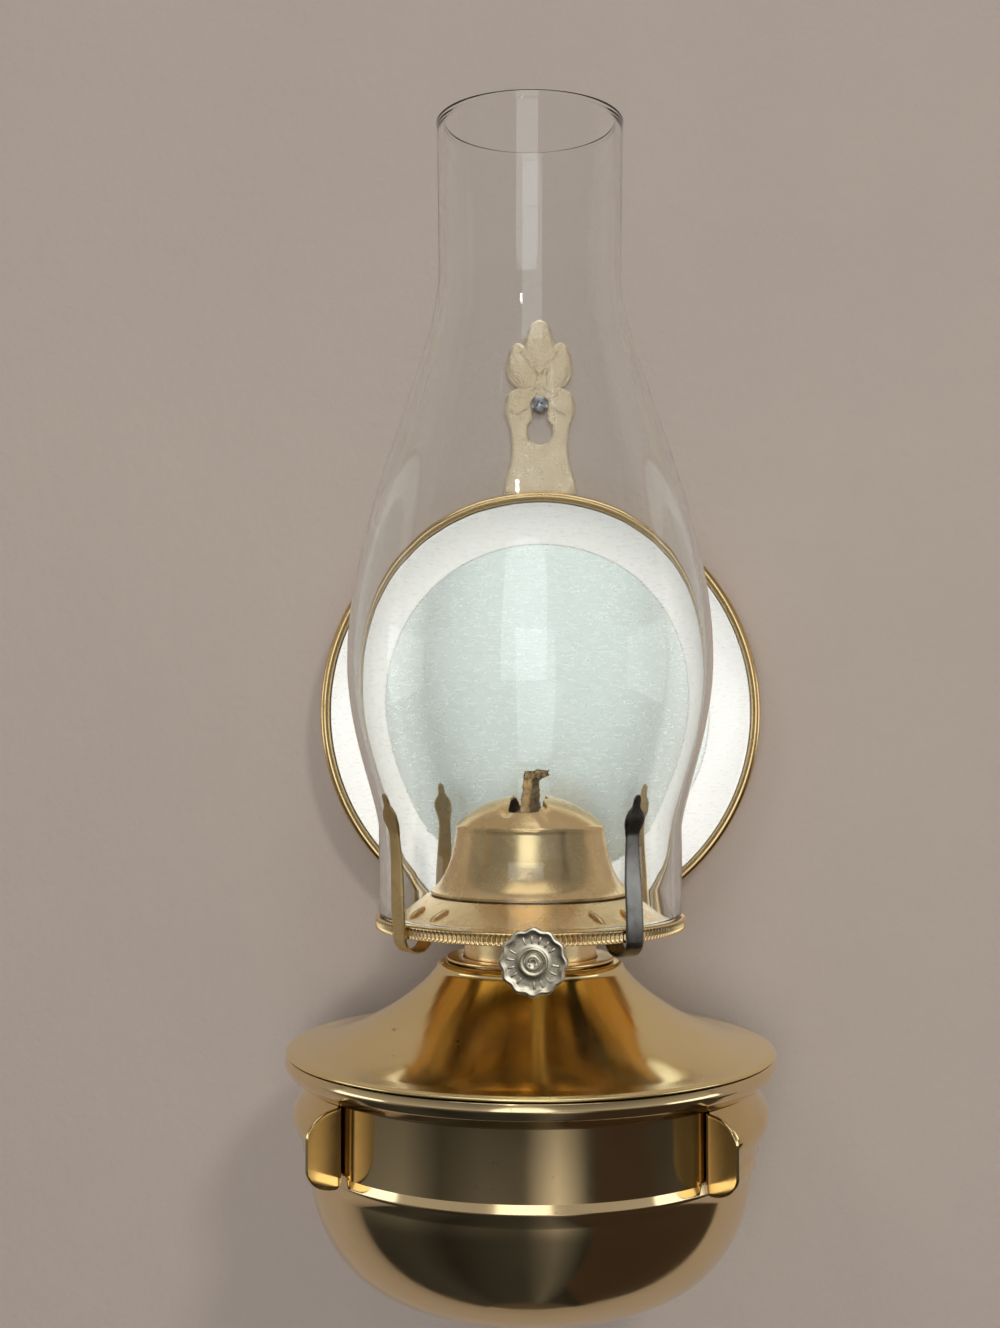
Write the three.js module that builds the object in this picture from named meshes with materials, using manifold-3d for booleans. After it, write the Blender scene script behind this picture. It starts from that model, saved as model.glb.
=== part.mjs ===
// Wall bracket oil lamp, in millimetres.
// The origin is on the strap's wall face, level with the reflector's centre.
// +Z is up, +Y points into the wall and -Y towards the room.

import * as THREE from 'three';
import { mergeVertices } from 'three/addons/utils/BufferGeometryUtils.js';
import Module from 'manifold-3d';

const wasm = await Module();
wasm.setup();

// General sizes
const seatGap = 0.3; // left between two pieces that touch
const cutOverrun = 3; // how far a cutting body runs past what it cuts
const weldDistance = 0.0005; // points nearer than this are one point

// Facets in a full turn
const tankFacets = 36;
const burnerFacets = 28;
const collarFacets = 24;
const pinFacets = 10;
const holeFacets = 8;

// Where the lamp stands
const reflectorHeight = 141.6; // reflector's centre above the tank's bottom
const burnerTurnDegrees = -4;

// Strap
const strapThickness = 1.2;
const strapWidth = 21.8;
const ornamentFoot = 62.9; // where the shaped top of the strap begins
const ornamentHeight = 50;
const keyholeRadius = 3.85;
const keyholeHeight = 80.8;
const keyholeSlotWidth = 4.6;
const keyholeSlotRise = 7.7;
const strapBendRise = 7.9; // start of the bend above the clip's rivets
const strapBendDrop = 4.2;
const strapFootLength = 10;
const strapFootReach = 4.6; // front of the foot from the wall

// Reflector
const reflectorSheet = 0.6;
const reflectorRadius = 61.6;
const reflectorFlareWidth = 14.2; // from the flat disc to the rim
const reflectorDepth = 13.6;
const reflectorCurlRadius = 1.3;
const reflectorHollow = 1.2; // between the frame's back and the dish
const reflectorRivetSpacing = 40;

// Rivets
const rivetShankRadius = 1.5;
const rivetHeadRadius = 2.6;
const rivetHeadThickness = 0.6;
const rivetSinkRadius = 2.4;
const rivetSinkDepth = 0.9;
const rivetFlushGap = 0.1;
const clipRivetSpacing = 10;
const clipRivetInnerRadius = 2;
const clipRivetInset = 1.2; // inner head behind the hollow of the rib

// Font clip
const clipSheet = 0.9;
const clipRibDepth = 2.6;
const clipRibHeight = 14.5;
const clipMouthDegrees = 49.5; // from the front of the lamp to each end of the band
const clipBendRadius = 2.2;
const clipBendDegrees = 80;
const clipTabLength = 8.6;
const clipTabDrop = 2.1; // how far the tab hangs below the band
const clipTabEndShare = 0.56; // height of the tab's straight end
const clipRibFade = 9; // length over which the rib dies out before each bend

// Tank
const tankSheet = 0.8;
const tankFootRadius = 23.7;
const tankBodyRadius = 54.8;
const tankBowlTuck = 0.6; // step in below the bead
const tankBowlHeight = 30.6;
const tankBeadHeight = 4.4;
const tankBeadRise = 0.7;
const tankBandHeight = 16.6; // plain band between the bead and the rim
const tankRimOverhang = 5.9; // rim beyond the body
const tankRimBeadRise = 0.8; // rim bead over the creases beside it
const tankFlangeRise = 2.6;
const tankRimBeadHeight = 3.7;
const shoulderRollHeight = 1.3;
const shoulderRollWidth = 4.2;
const neckRadius = 23.3;
const shoulderRise = 21.9; // from the seam to the top of the neck
const neckRound = 1.6;
const collarFlangeWidth = 3.3;
const collarDepth = 9.8;

// Burner body
const burnerSheet = 0.6;
const baseRadius = 16.4;
const baseRise = 10.6; // above the neck
const baseFlangeRadius = 20.4;
const ventRadius = 1.8;
const ventOffset = 9.6;
const basketTopRadius = 22.6;
const basketTopFlange = 2;
const basketFootFlange = 3.1;
const basketHoleRadius = 1.25;
const basketHoles = 12;
const galleryRadius = 38.4;
const galleryRise = 0.7; // from the base's top to the ledge that the chimney stands on
const galleryLipHeight = 3;
const galleryLipRound = 0.4;
const galleryLedgeWidth = 2.4;
const domeSeatRise = 5.3; // above the ledge
const domeSeatRadius = 25.3;
const domeSeatWidth = 3;
const nibLength = 4.6;
const nibThickness = 0.6;
const nibHeight = 1.1;
const nibRadius = 30.8;
const nibSpreadDegrees = 8.5;
const domeSkirtRadius = 24.8;
const domeCreaseRadius = 18.4;
const domeCreaseHeight = 16.6; // above the skirt's edge
const domeCapHeight = 7.7;
const domeSlotWidth = 8.2;
const domeSlotLength = 28;

// Wick and its tube
const wickWidth = 25;
const wickThickness = 3;
const wickRise = 9.5; // above its tube
const wickBottom = 12;
const wickTubeWall = 0.5;
const wickTubeRise = 26.1; // above the gallery's ledge
const wickTubeDrop = 6; // below the burner's base

// Wick raiser
const shaftOffset = 6.2; // beside the wick
const shaftRise = 6.1; // above the neck
const shaftRadius = 1.4;
const shaftBack = 17; // its rear end behind the lamp's axis
const shaftHeadRadius = 1.9;
const shaftHeadThickness = 0.5;
const sleeveWall = 0.7;
const sleeveInnerEnd = 12.9;
const sleeveOuterEnd = 33;
const spurCount = 4;
const spurSpacing = 5.4;
const spurThickness = 1;
const spurTeeth = 9;
const thumbwheelRadius = 7.8;
const thumbwheelThickness = 1.8;
const thumbwheelFront = 47.2; // its front face from the lamp's axis
const thumbwheelScallops = 12;
const scallopDepth = 0.5;
const hubRadius = 2.2;
const hubGrooveRadius = 2.9;
const hubGrooveDepth = 0.6;

// Chimney prongs, a quarter turn apart from the first
const prongThickness = 0.5;
const prongRise = 31.1; // above the gallery's ledge
const prongDrop = 6.7; // below the ledge
const prongInnerLegRadius = 31.8;
const prongFootReach = 3.6;
const prongWidth = 5.2;
const firstProngDegrees = 45;
const prongNames = ['prong_rear_right', 'prong_rear_left', 'prong_front_left', 'prong_front_right'];
const prongLeanDegrees = [0, 0, 5.5, 0]; // the front left one is bent outward

// Chimney
const glassWall = 1.6;
const chimneyBaseRadius = 37.6;
const chimneyBaseHeight = 21.6;
const chimneyBellyRadius = 45.6;
const chimneyBellyHeight = 62.6;
const chimneyNeckRadius = 23.1;
const chimneyNeckHeight = 160.6;
const chimneyRimRadius = 23.5;
const chimneyHeight = 198.8;

// Places and sizes that follow from the ones above
const halfStrap = strapWidth / 2;
const reflectorDiscRadius = reflectorRadius - reflectorFlareWidth;
const frameBack = strapThickness + seatGap;
const frameFront = frameBack + reflectorDepth;
const beadTop = tankBowlHeight + tankBeadHeight;
const flangeFoot = beadTop + tankBandHeight;
const flangeTop = flangeFoot + tankFlangeRise;
const tankRimRadius = tankBodyRadius + tankRimOverhang;
const rimCreaseRadius = tankRimRadius - tankRimBeadRise;
const seamHeight = flangeTop + tankRimBeadHeight;
const clipBottom = beadTop + seatGap;
const clipTop = flangeFoot - seatGap;
const clipMiddle = (clipBottom + clipTop) / 2;
const clipInnerRadius = tankBodyRadius + seatGap;
const ribCrestRadius = clipInnerRadius + clipSheet + clipRibDepth;
const strapBendTop = reflectorHeight - clipMiddle - strapBendRise; // below the origin
const strapFootBack = strapFootReach - strapThickness;
const lampStandoff = strapFootReach + seatGap + ribCrestRadius; // lamp's axis from the wall
const collarRadius = baseRadius + seatGap + tankSheet;
const neckHeight = seamHeight + shoulderRise;
const baseBottom = neckHeight - collarDepth;
const baseTop = neckHeight + baseRise;
const galleryTop = baseTop + galleryRise;
const domeSeatHeight = galleryTop + domeSeatRise;
const basketTop = domeSeatHeight - burnerSheet - seatGap;
const domeFoot = domeSeatHeight + seatGap;
const chimneyFoot = galleryTop + seatGap;
const galleryLedgeRadius = galleryRadius - galleryLipRound - galleryLedgeWidth;
const deckSlope = Math.atan2(domeSeatHeight - galleryTop, galleryLedgeRadius - domeSeatRadius);
const wickTubeTop = galleryTop + wickTubeRise;
const wickTubeBottom = baseBottom - wickTubeDrop;
const wickTop = wickTubeTop + wickRise;
const prongTop = galleryTop + prongRise;
const prongBottom = galleryTop - prongDrop;
const shaftHeight = neckHeight + shaftRise;
const tubeInnerDepth = wickThickness + 2 * seatGap;
const tubeInnerWidth = wickWidth + 2 * seatGap;
const tubeDepth = tubeInnerDepth + 2 * wickTubeWall;
const tubeWidth = tubeInnerWidth + 2 * wickTubeWall;
const shaftBoreRadius = shaftRadius + seatGap;
const sleeveRadius = shaftBoreRadius + sleeveWall;
const spurRadius = shaftOffset - wickThickness / 2 - seatGap;

// Looks of the pieces
const brass = { color: 0xc9a961, roughness: 0.28, metalness: 1 };
const oldBrass = { color: 0x8d7a4a, roughness: 0.4, metalness: 1 };
const darkSteel = { color: 0x45474a, roughness: 0.35, metalness: 1 };
const nickel = { color: 0x9fa3a6, roughness: 0.35, metalness: 1 };
const silvered = { color: 0xdde3e6, roughness: 0.12, metalness: 1 };
const clearGlass = { color: 0xf2f6f6, roughness: 0.03, transparent: true, opacity: 0.25 };
const cotton = { color: 0xcdbf9f, roughness: 0.95 };

// Solids: welding, joining and cutting

function signedVolume(positions, triangles) {
  let volume = 0;
  for (let at = 0; at < triangles.length; at += 3) {
    const [a, b, c] = [0, 1, 2].map((corner) => (
      new THREE.Vector3().fromArray(positions, 3 * triangles[at + corner])
    ));
    volume += a.dot(b.cross(c));
  }
  return volume;
}

function toSolid(geometry) {
  const bare = geometry.clone();
  bare.deleteAttribute('normal');
  bare.deleteAttribute('uv');
  const welded = mergeVertices(bare, weldDistance);
  const positions = welded.attributes.position.array;
  const index = welded.index.array;
  const triangles = [];
  for (let at = 0; at < index.length; at += 3) {
    const [a, b, c] = [index[at], index[at + 1], index[at + 2]];
    if (a !== b && b !== c && c !== a) {
      triangles.push(a, b, c);
    }
  }
  if (signedVolume(positions, triangles) < 0) {
    triangles.reverse();
  }
  return new wasm.Manifold(new wasm.Mesh({
    numProp: 3,
    vertProperties: new Float32Array(positions),
    triVerts: new Uint32Array(triangles),
  }));
}

function toGeometry(solid) {
  const mesh = solid.getMesh();
  const geometry = new THREE.BufferGeometry();
  geometry.setAttribute('position', new THREE.BufferAttribute(mesh.vertProperties, 3));
  geometry.setIndex(new THREE.BufferAttribute(mesh.triVerts, 1));
  return geometry;
}

function cut(geometry, tools) {
  let solid = toSolid(geometry);
  for (const tool of tools) {
    solid = solid.subtract(toSolid(tool));
  }
  return toGeometry(solid);
}

function join(geometries) {
  let solid = toSolid(geometries[0]);
  for (const geometry of geometries.slice(1)) {
    solid = solid.add(toSolid(geometry));
  }
  return toGeometry(solid);
}

function piece(name, geometry, look) {
  const material = new THREE.MeshStandardMaterial({ ...look, flatShading: true });
  const mesh = new THREE.Mesh(toGeometry(toSolid(geometry)), material);
  mesh.name = name;
  return mesh;
}

// Lines in the plane of a section, as lists of [radius, height]

function arc(centre, radius, fromDegrees, toDegrees, steps) {
  const points = [];
  for (let step = 0; step <= steps; step += 1) {
    const degrees = THREE.MathUtils.lerp(fromDegrees, toDegrees, step / steps);
    const angle = THREE.MathUtils.degToRad(degrees);
    points.push([centre[0] + radius * Math.cos(angle), centre[1] + radius * Math.sin(angle)]);
  }
  return points;
}

// The point that is the given shares [across, up] of the way from start to end
function between(start, end, [across, up]) {
  const radius = THREE.MathUtils.lerp(start[0], end[0], across);
  const height = THREE.MathUtils.lerp(start[1], end[1], up);
  return [radius, height];
}

// A curve whose two handles are given as shares of the way from start to end
function sweep(start, end, startShares, endShares, steps) {
  const corners = [start, between(start, end, startShares), between(start, end, endShares), end];
  const curve = new THREE.CubicBezierCurve(...corners.map(([x, y]) => new THREE.Vector2(x, y)));
  return curve.getPoints(steps).map((point) => [point.x, point.y]);
}

// A line moved to its left by a distance, with mitred corners
function offsetLine(line, distance) {
  const points = line.map(([x, y]) => new THREE.Vector2(x, y));
  return points.map((point, index) => {
    const steps = [];
    if (index > 0) {
      steps.push(point.clone().sub(points[index - 1]).normalize());
    }
    if (index < points.length - 1) {
      steps.push(points[index + 1].clone().sub(point).normalize());
    }
    const normals = steps.map((step) => new THREE.Vector2(-step.y, step.x));
    const normal = normals.reduce((sum, one) => sum.clone().add(one)).normalize();
    const mitre = distance / normal.dot(normals[0]);
    const moved = point.clone().addScaledVector(normal, mitre);
    return [moved.x, moved.y];
  });
}

// The closed section of a pressed sheet: the face, and a guide moved to the left of its travel,
// whose end on the axis stays there
function sheetSection(face, thickness, guide = face) {
  const far = offsetLine(guide, thickness).map(([radius, height], index) => (
    guide[index][0] === 0 ? [0, height] : [radius, height]
  ));
  return [...face, ...far.reverse()];
}

// Solids from sections and outlines

// A solid turned about the upright axis from a section of [radius, height]
function turned(section, facets) {
  const startsOnAxis = section[0][0] === 0;
  const closed = startsOnAxis ? section : [...section, section[0]];
  const profile = closed.map(([radius, height]) => new THREE.Vector2(radius, height));
  const geometry = new THREE.LatheGeometry(profile, facets);
  geometry.rotateX(Math.PI / 2);
  return geometry;
}

// The same about an axis that points out of the wall, from a section of [radius, reach]
function turnedOutward(section, facets) {
  const geometry = turned(section, facets);
  geometry.rotateX(Math.PI / 2);
  return geometry;
}

// A round pin that points out of the wall, between two reaches
function outwardPin(radius, fromReach, toReach, facets) {
  return turnedOutward([[0, fromReach], [radius, fromReach], [radius, toReach], [0, toReach]], facets);
}

// A flat outline facing the room, its back at a given reach from the wall
function facingPlate(outline, backReach, thickness, curveSegments) {
  const geometry = new THREE.ExtrudeGeometry(outline, {
    depth: thickness,
    bevelEnabled: false,
    curveSegments,
  });
  geometry.rotateX(Math.PI / 2);
  geometry.translate(0, -backReach, 0);
  return geometry;
}

// An upright prism
function prism(outline, bottom, top, curveSegments) {
  const geometry = new THREE.ExtrudeGeometry(outline, {
    depth: top - bottom,
    bevelEnabled: false,
    curveSegments,
  });
  geometry.translate(0, 0, bottom);
  return geometry;
}

// A rectangle with round ends, its long side along Y
function slotShape(width, length) {
  const radius = width / 2;
  const endCentre = (length - width) / 2;
  const shape = new THREE.Shape();
  shape.absarc(0, endCentre, radius, 0, Math.PI);
  shape.absarc(0, -endCentre, radius, Math.PI, 2 * Math.PI);
  return shape;
}

// A closed solid between two grids of points, near[column][row] and far[column][row]
function betweenGrids(near, far) {
  const lastColumn = near.length - 1;
  const lastRow = near[0].length - 1;
  const positions = [];
  const numbered = (grid) => grid.map((column) => column.map((point) => {
    positions.push(point.x, point.y, point.z);
    return positions.length / 3 - 1;
  }));
  const a = numbered(near);
  const b = numbered(far);
  const triangles = [];
  const quad = (p, q, r, s) => triangles.push(p, q, r, p, r, s);
  for (let i = 0; i < lastColumn; i += 1) {
    for (let k = 0; k < lastRow; k += 1) {
      quad(a[i][k], a[i + 1][k], a[i + 1][k + 1], a[i][k + 1]);
      quad(b[i][k], b[i][k + 1], b[i + 1][k + 1], b[i + 1][k]);
    }
    quad(a[i][0], b[i][0], b[i + 1][0], a[i + 1][0]);
    quad(a[i][lastRow], a[i + 1][lastRow], b[i + 1][lastRow], b[i][lastRow]);
  }
  for (let k = 0; k < lastRow; k += 1) {
    quad(a[0][k], a[0][k + 1], b[0][k + 1], b[0][k]);
    quad(a[lastColumn][k], b[lastColumn][k], b[lastColumn][k + 1], a[lastColumn][k + 1]);
  }
  const geometry = new THREE.BufferGeometry();
  geometry.setAttribute('position', new THREE.Float32BufferAttribute(positions, 3));
  geometry.setIndex(triangles);
  return geometry;
}

// A strip bent along a line of [radius, height] on its left face, with a half width at each point
function bentStrip(line, thickness, halfWidths) {
  const grid = (points) => points.map(([x, z], index) => (
    [-1, 1].map((side) => new THREE.Vector3(x, side * halfWidths[index], z))
  ));
  return betweenGrids(grid(line), grid(offsetLine(line, -thickness)));
}

// Bracket strap

function strapOutline() {
  // Each petal as [share of the half width, share of the ornament's height], from the tip down
  const tipShares = [[0, 1], [0.25, 0.972], [0.42, 0.886], [0.45, 0.85]];
  const upperLeafShares = [
    [0.45, 0.85], [0.6, 0.868], [0.78, 0.85], [0.91, 0.79], [0.945, 0.72], [0.86, 0.65], [0.64, 0.605],
  ];
  const lowerLeafShares = [[0.64, 0.605], [0.9, 0.575], [1, 0.5], [0.93, 0.44], [0.81, 0.375]];
  const waistShares = [[0.81, 0.375], [0.77, 0.27], [0.83, 0.165], [0.95, 0.08], [1, 0]];
  const steps = 6;
  const side = [tipShares, upperLeafShares, lowerLeafShares, waistShares].flatMap((shares) => {
    const corners = shares.map(([across, up]) => (
      new THREE.Vector2(across * halfStrap, ornamentFoot + up * ornamentHeight)
    ));
    return new THREE.SplineCurve(corners).getPoints(steps).slice(0, steps);
  });
  side.push(new THREE.Vector2(halfStrap, ornamentFoot));
  side.push(new THREE.Vector2(halfStrap - strapThickness, ornamentFoot - strapThickness));
  const otherSide = side.slice(1).reverse().map((point) => new THREE.Vector2(-point.x, point.y));
  return new THREE.Shape([...side, ...otherSide]);
}

function keyholeOutline() {
  const slotRadius = keyholeSlotWidth / 2;
  const slotTop = keyholeHeight + keyholeSlotRise;
  const halfMouth = Math.asin(slotRadius / keyholeRadius);
  const start = Math.PI / 2 + halfMouth;
  const end = Math.PI / 2 - halfMouth + 2 * Math.PI;
  const outline = new THREE.Path();
  outline.absarc(0, keyholeHeight, keyholeRadius, start, end);
  outline.absarc(0, slotTop, slotRadius, 0, Math.PI);
  outline.closePath();
  return outline;
}

// Where the rivets go, as [x, height] from the reflector's centre
const reflectorRivetPlaces = [1, -1].map((side) => [0, side * reflectorRivetSpacing / 2]);
const clipRivetPlaces = [-1, 1].map((side) => (
  [side * clipRivetSpacing / 2, clipMiddle - reflectorHeight]
));

function backStrap() {
  const outline = strapOutline();
  outline.holes.push(keyholeOutline());
  const keyholeSegments = 7;
  const ornament = facingPlate(outline, 0, strapThickness, keyholeSegments);

  // The straight part and its foot, bent forward to the clip; wall side as [reach, height]
  const footTop = -strapBendTop - strapBendDrop;
  const wallSide = [
    [strapFootBack, footTop - strapFootLength],
    [strapFootBack, footTop],
    [0, -strapBendTop],
    [0, ornamentFoot],
  ];
  const strip = bentStrip(wallSide, strapThickness, wallSide.map(() => halfStrap));
  strip.rotateZ(-Math.PI / 2);

  const shankHole = rivetShankRadius + seatGap;
  const sinkHole = rivetSinkRadius + seatGap;
  const sink = turnedOutward([
    [0, -cutOverrun],
    [sinkHole, -cutOverrun],
    [sinkHole, rivetFlushGap],
    [shankHole, rivetFlushGap + rivetSinkDepth],
    [shankHole, strapThickness + cutOverrun],
    [0, strapThickness + cutOverrun],
  ], pinFacets);
  const footHole = outwardPin(shankHole, 0, strapFootReach + cutOverrun, pinFacets);
  return cut(join([ornament, strip]), [
    ...reflectorRivetPlaces.map(([x, z]) => sink.clone().translate(x, 0, z)),
    ...clipRivetPlaces.map(([x, z]) => footHole.clone().translate(x, 0, z)),
  ]);
}

// Rivets

function reflectorRivet([x, z]) {
  const headBack = frameBack + reflectorSheet + seatGap;
  const rivet = turnedOutward([
    [0, rivetFlushGap],
    [rivetSinkRadius, rivetFlushGap],
    [rivetShankRadius, rivetFlushGap + rivetSinkDepth],
    [rivetShankRadius, headBack],
    [rivetHeadRadius, headBack],
    [rivetHeadRadius, headBack + rivetHeadThickness],
    [0, headBack + rivetHeadThickness],
  ], pinFacets);
  rivet.translate(x, 0, z);
  return rivet;
}

function clipRivet([x, z]) {
  const outerHead = strapFootBack - seatGap;
  const innerHead = lampStandoff - ribCrestRadius + clipSheet + clipRivetInset;
  const rivet = turnedOutward([
    [0, outerHead - rivetHeadThickness],
    [rivetHeadRadius, outerHead - rivetHeadThickness],
    [rivetHeadRadius, outerHead],
    [rivetShankRadius, outerHead],
    [rivetShankRadius, innerHead],
    [clipRivetInnerRadius, innerHead],
    [clipRivetInnerRadius, innerHead + rivetHeadThickness],
    [0, innerHead + rivetHeadThickness],
  ], pinFacets);
  rivet.translate(x, 0, z);
  return rivet;
}

// Spring clip round the tank

// Stations along half of the band's middle line, from its back to the end of a tab. Each has a
// place, a heading, the share of the rib that it carries and the heights of its two edges.
function clipStations() {
  const middleRadius = clipInnerRadius + clipSheet / 2;
  const mouth = THREE.MathUtils.degToRad(clipMouthDegrees);
  const bend = THREE.MathUtils.degToRad(clipBendDegrees);
  const bandSteps = 15;
  const bendSteps = 4;
  const tabShares = [0.35, 0.66, 0.88, 1];
  const stations = [];
  for (let step = 0; step <= bandSteps; step += 1) {
    const angle = THREE.MathUtils.lerp(Math.PI, mouth, step / bandSteps);
    stations.push({
      place: new THREE.Vector2(Math.sin(angle), -Math.cos(angle)).multiplyScalar(middleRadius),
      heading: angle + Math.PI,
      rib: THREE.MathUtils.smoothstep((angle - mouth) * middleRadius, 0, clipRibFade),
      bottom: clipBottom,
      top: clipTop,
    });
  }

  const bandEnd = stations[stations.length - 1];
  const outward = new THREE.Vector2(Math.sin(mouth), -Math.cos(mouth));
  const bendCentre = bandEnd.place.clone().addScaledVector(outward, clipBendRadius);
  for (let step = 1; step <= bendSteps; step += 1) {
    const turn = bend * step / bendSteps;
    const arm = outward.clone().negate().rotateAround(new THREE.Vector2(), turn);
    stations.push({
      ...bandEnd,
      place: bendCentre.clone().addScaledVector(arm, clipBendRadius),
      heading: bandEnd.heading + turn,
    });
  }

  const bendEnd = stations[stations.length - 1];
  const ahead = new THREE.Vector2(Math.cos(bendEnd.heading), Math.sin(bendEnd.heading));
  const tabBottom = clipBottom - clipTabDrop;
  const tabMiddle = (tabBottom + clipTop) / 2;
  for (const share of tabShares) {
    const roundedShare = THREE.MathUtils.lerp(clipTabEndShare, 1, Math.sqrt(1 - share ** 2));
    const halfHeight = roundedShare * (clipTop - tabBottom) / 2;
    stations.push({
      ...bendEnd,
      place: bendEnd.place.clone().addScaledVector(ahead, clipTabLength * share),
      bottom: tabMiddle - halfHeight,
      top: tabMiddle + halfHeight,
    });
  }
  return stations;
}

function fontClip() {
  const rightHalf = clipStations();
  const leftHalf = rightHalf.slice(1).reverse().map((station) => ({ ...station, mirrored: true }));
  const halfRibShare = clipRibHeight / (clipTop - clipBottom) / 2;
  const acrossRibShares = [-1, -0.45, 0, 0.45, 1];
  const rowShares = [0, ...acrossRibShares.map((share) => (1 + 2 * share * halfRibShare) / 2), 1];
  const face = (offset) => [...leftHalf, ...rightHalf].map((station) => {
    const outward = new THREE.Vector2(-Math.sin(station.heading), Math.cos(station.heading));
    return rowShares.map((row) => {
      const acrossRib = THREE.MathUtils.clamp((2 * row - 1) / (2 * halfRibShare), -1, 1);
      const swell = clipRibDepth * station.rib * (1 + Math.cos(Math.PI * acrossRib)) / 2;
      const at = station.place.clone().addScaledVector(outward, offset + swell);
      const height = THREE.MathUtils.lerp(station.bottom, station.top, row);
      return new THREE.Vector3(station.mirrored ? -at.x : at.x, at.y, height);
    });
  });
  const band = betweenGrids(face(clipSheet / 2), face(-clipSheet / 2));
  const holeRadius = rivetShankRadius + seatGap;
  const hole = outwardPin(holeRadius, -ribCrestRadius - cutOverrun, cutOverrun - clipInnerRadius, pinFacets);
  return cut(band, clipRivetPlaces.map(([x]) => hole.clone().translate(x, 0, clipMiddle)));
}

// Reflector

function reflectorFrame() {
  const curlCentre = [reflectorRadius - reflectorCurlRadius, frameFront - reflectorCurlRadius];
  const curlStartDegrees = -52;
  const curlEndDegrees = 175;
  const curlSteps = 5;
  const back = [
    [0, frameBack],
    [reflectorDiscRadius, frameBack],
    ...arc(curlCentre, reflectorCurlRadius, curlStartDegrees, curlEndDegrees, curlSteps),
  ];
  const frame = turnedOutward(sheetSection(back, reflectorSheet), tankFacets);
  const hole = outwardPin(rivetShankRadius + seatGap, 0, frameFront, pinFacets);
  return cut(frame, reflectorRivetPlaces.map(([x, z]) => hole.clone().translate(x, 0, z)));
}

function reflectorDish() {
  const dishBack = frameBack + reflectorSheet + reflectorHollow;
  const curlWidth = 2 * reflectorCurlRadius;
  const back = [
    [0, dishBack],
    [reflectorDiscRadius + reflectorHollow / 2, dishBack],
    [reflectorRadius - curlWidth, frameFront - curlWidth],
  ];
  return turnedOutward(sheetSection(back, reflectorSheet), tankFacets);
}

// Tank

// The side of the bowl from its foot up to the bead
function bellyLine(steps) {
  const widthPower = 0.86;
  const heightPower = 1.03;
  const points = [];
  for (let step = 0; step <= steps; step += 1) {
    const angle = (1 - step / steps) * Math.PI / 2;
    const outShare = Math.max(Math.cos(angle), 0) ** widthPower;
    const downShare = Math.sin(angle) ** heightPower;
    const radius = THREE.MathUtils.lerp(tankFootRadius, tankBodyRadius - tankBowlTuck, outShare);
    points.push([radius, tankBowlHeight * (1 - downShare)]);
  }
  return points;
}

function tankBowl() {
  const beadMiddle = [tankBodyRadius + tankBeadRise, tankBowlHeight + tankBeadHeight / 2];
  const flangeShares = [0.55, 0.23];
  const aboveBead = [
    [tankBodyRadius, beadTop],
    [tankBodyRadius, flangeFoot],
    between([tankBodyRadius, flangeFoot], [rimCreaseRadius, flangeTop], flangeShares),
    [rimCreaseRadius, flangeTop],
    [tankRimRadius, flangeTop + tankRimBeadHeight / 2],
    [rimCreaseRadius, seamHeight],
  ];
  const outside = [[0, 0], ...bellyLine(7), beadMiddle, ...aboveBead];
  const insideGuide = [[0, 0], ...bellyLine(3), ...aboveBead];
  return turned(sheetSection(outside, tankSheet, insideGuide), tankFacets);
}

function shoulderLine(slopeSteps, roundSteps) {
  const footRadius = rimCreaseRadius + seatGap;
  const foot = [footRadius, seamHeight + seatGap];
  const rollTop = [footRadius - shoulderRollWidth, foot[1] + shoulderRollHeight];
  const rollShares = [[0, 0], [0, 0.35], [0.27, 0.8]];
  const slopeTop = [neckRadius, neckHeight - neckRound];
  const roundCentre = [neckRadius - neckRound, neckHeight - neckRound];
  return [
    ...rollShares.map((shares) => between(foot, rollTop, shares)),
    ...sweep(rollTop, slopeTop, [0.336, 0.086], [0.826, 0.572], slopeSteps),
    ...arc(roundCentre, neckRound, 0, 90, roundSteps).slice(1),
    [collarRadius + seatGap, neckHeight],
  ];
}

function tankShoulder() {
  return turned(sheetSection(shoulderLine(6, 2), tankSheet, shoulderLine(3, 1)), tankFacets);
}

function tankCollar() {
  const flangeUnderside = neckHeight + seatGap;
  const outside = [
    [collarRadius, baseBottom],
    [collarRadius, flangeUnderside],
    [collarRadius + collarFlangeWidth, flangeUnderside],
  ];
  return turned(sheetSection(outside, tankSheet), collarFacets);
}

// Burner, about its own axis and before its turn

function onShaft(geometry) {
  return geometry.clone().translate(shaftOffset, 0, shaftHeight);
}

function burnerBase() {
  const outside = [
    [0, baseBottom],
    [baseRadius, baseBottom],
    [baseRadius, baseTop - burnerSheet],
    [baseFlangeRadius, baseTop - burnerSheet],
  ];
  const cup = turned(sheetSection(outside, burnerSheet), collarFacets);
  const floorBottom = baseBottom - cutOverrun;
  const floorTop = baseBottom + burnerSheet + cutOverrun;
  const slotEndSegments = 3;
  const tubeSlot = slotShape(tubeDepth + 2 * seatGap, tubeWidth + 2 * seatGap);
  const ventSegments = holeFacets / 2;
  const vent = new THREE.Shape().absarc(-ventOffset, 0, ventRadius, 0, 2 * Math.PI);
  return cut(cup, [
    prism(tubeSlot, floorBottom, floorTop, slotEndSegments),
    prism(vent, floorBottom, floorTop, ventSegments),
    onShaft(outwardPin(sleeveRadius + seatGap, 0, baseRadius + cutOverrun, pinFacets)),
    onShaft(outwardPin(shaftBoreRadius, -baseRadius - cutOverrun, 0, pinFacets)),
  ]);
}

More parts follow.
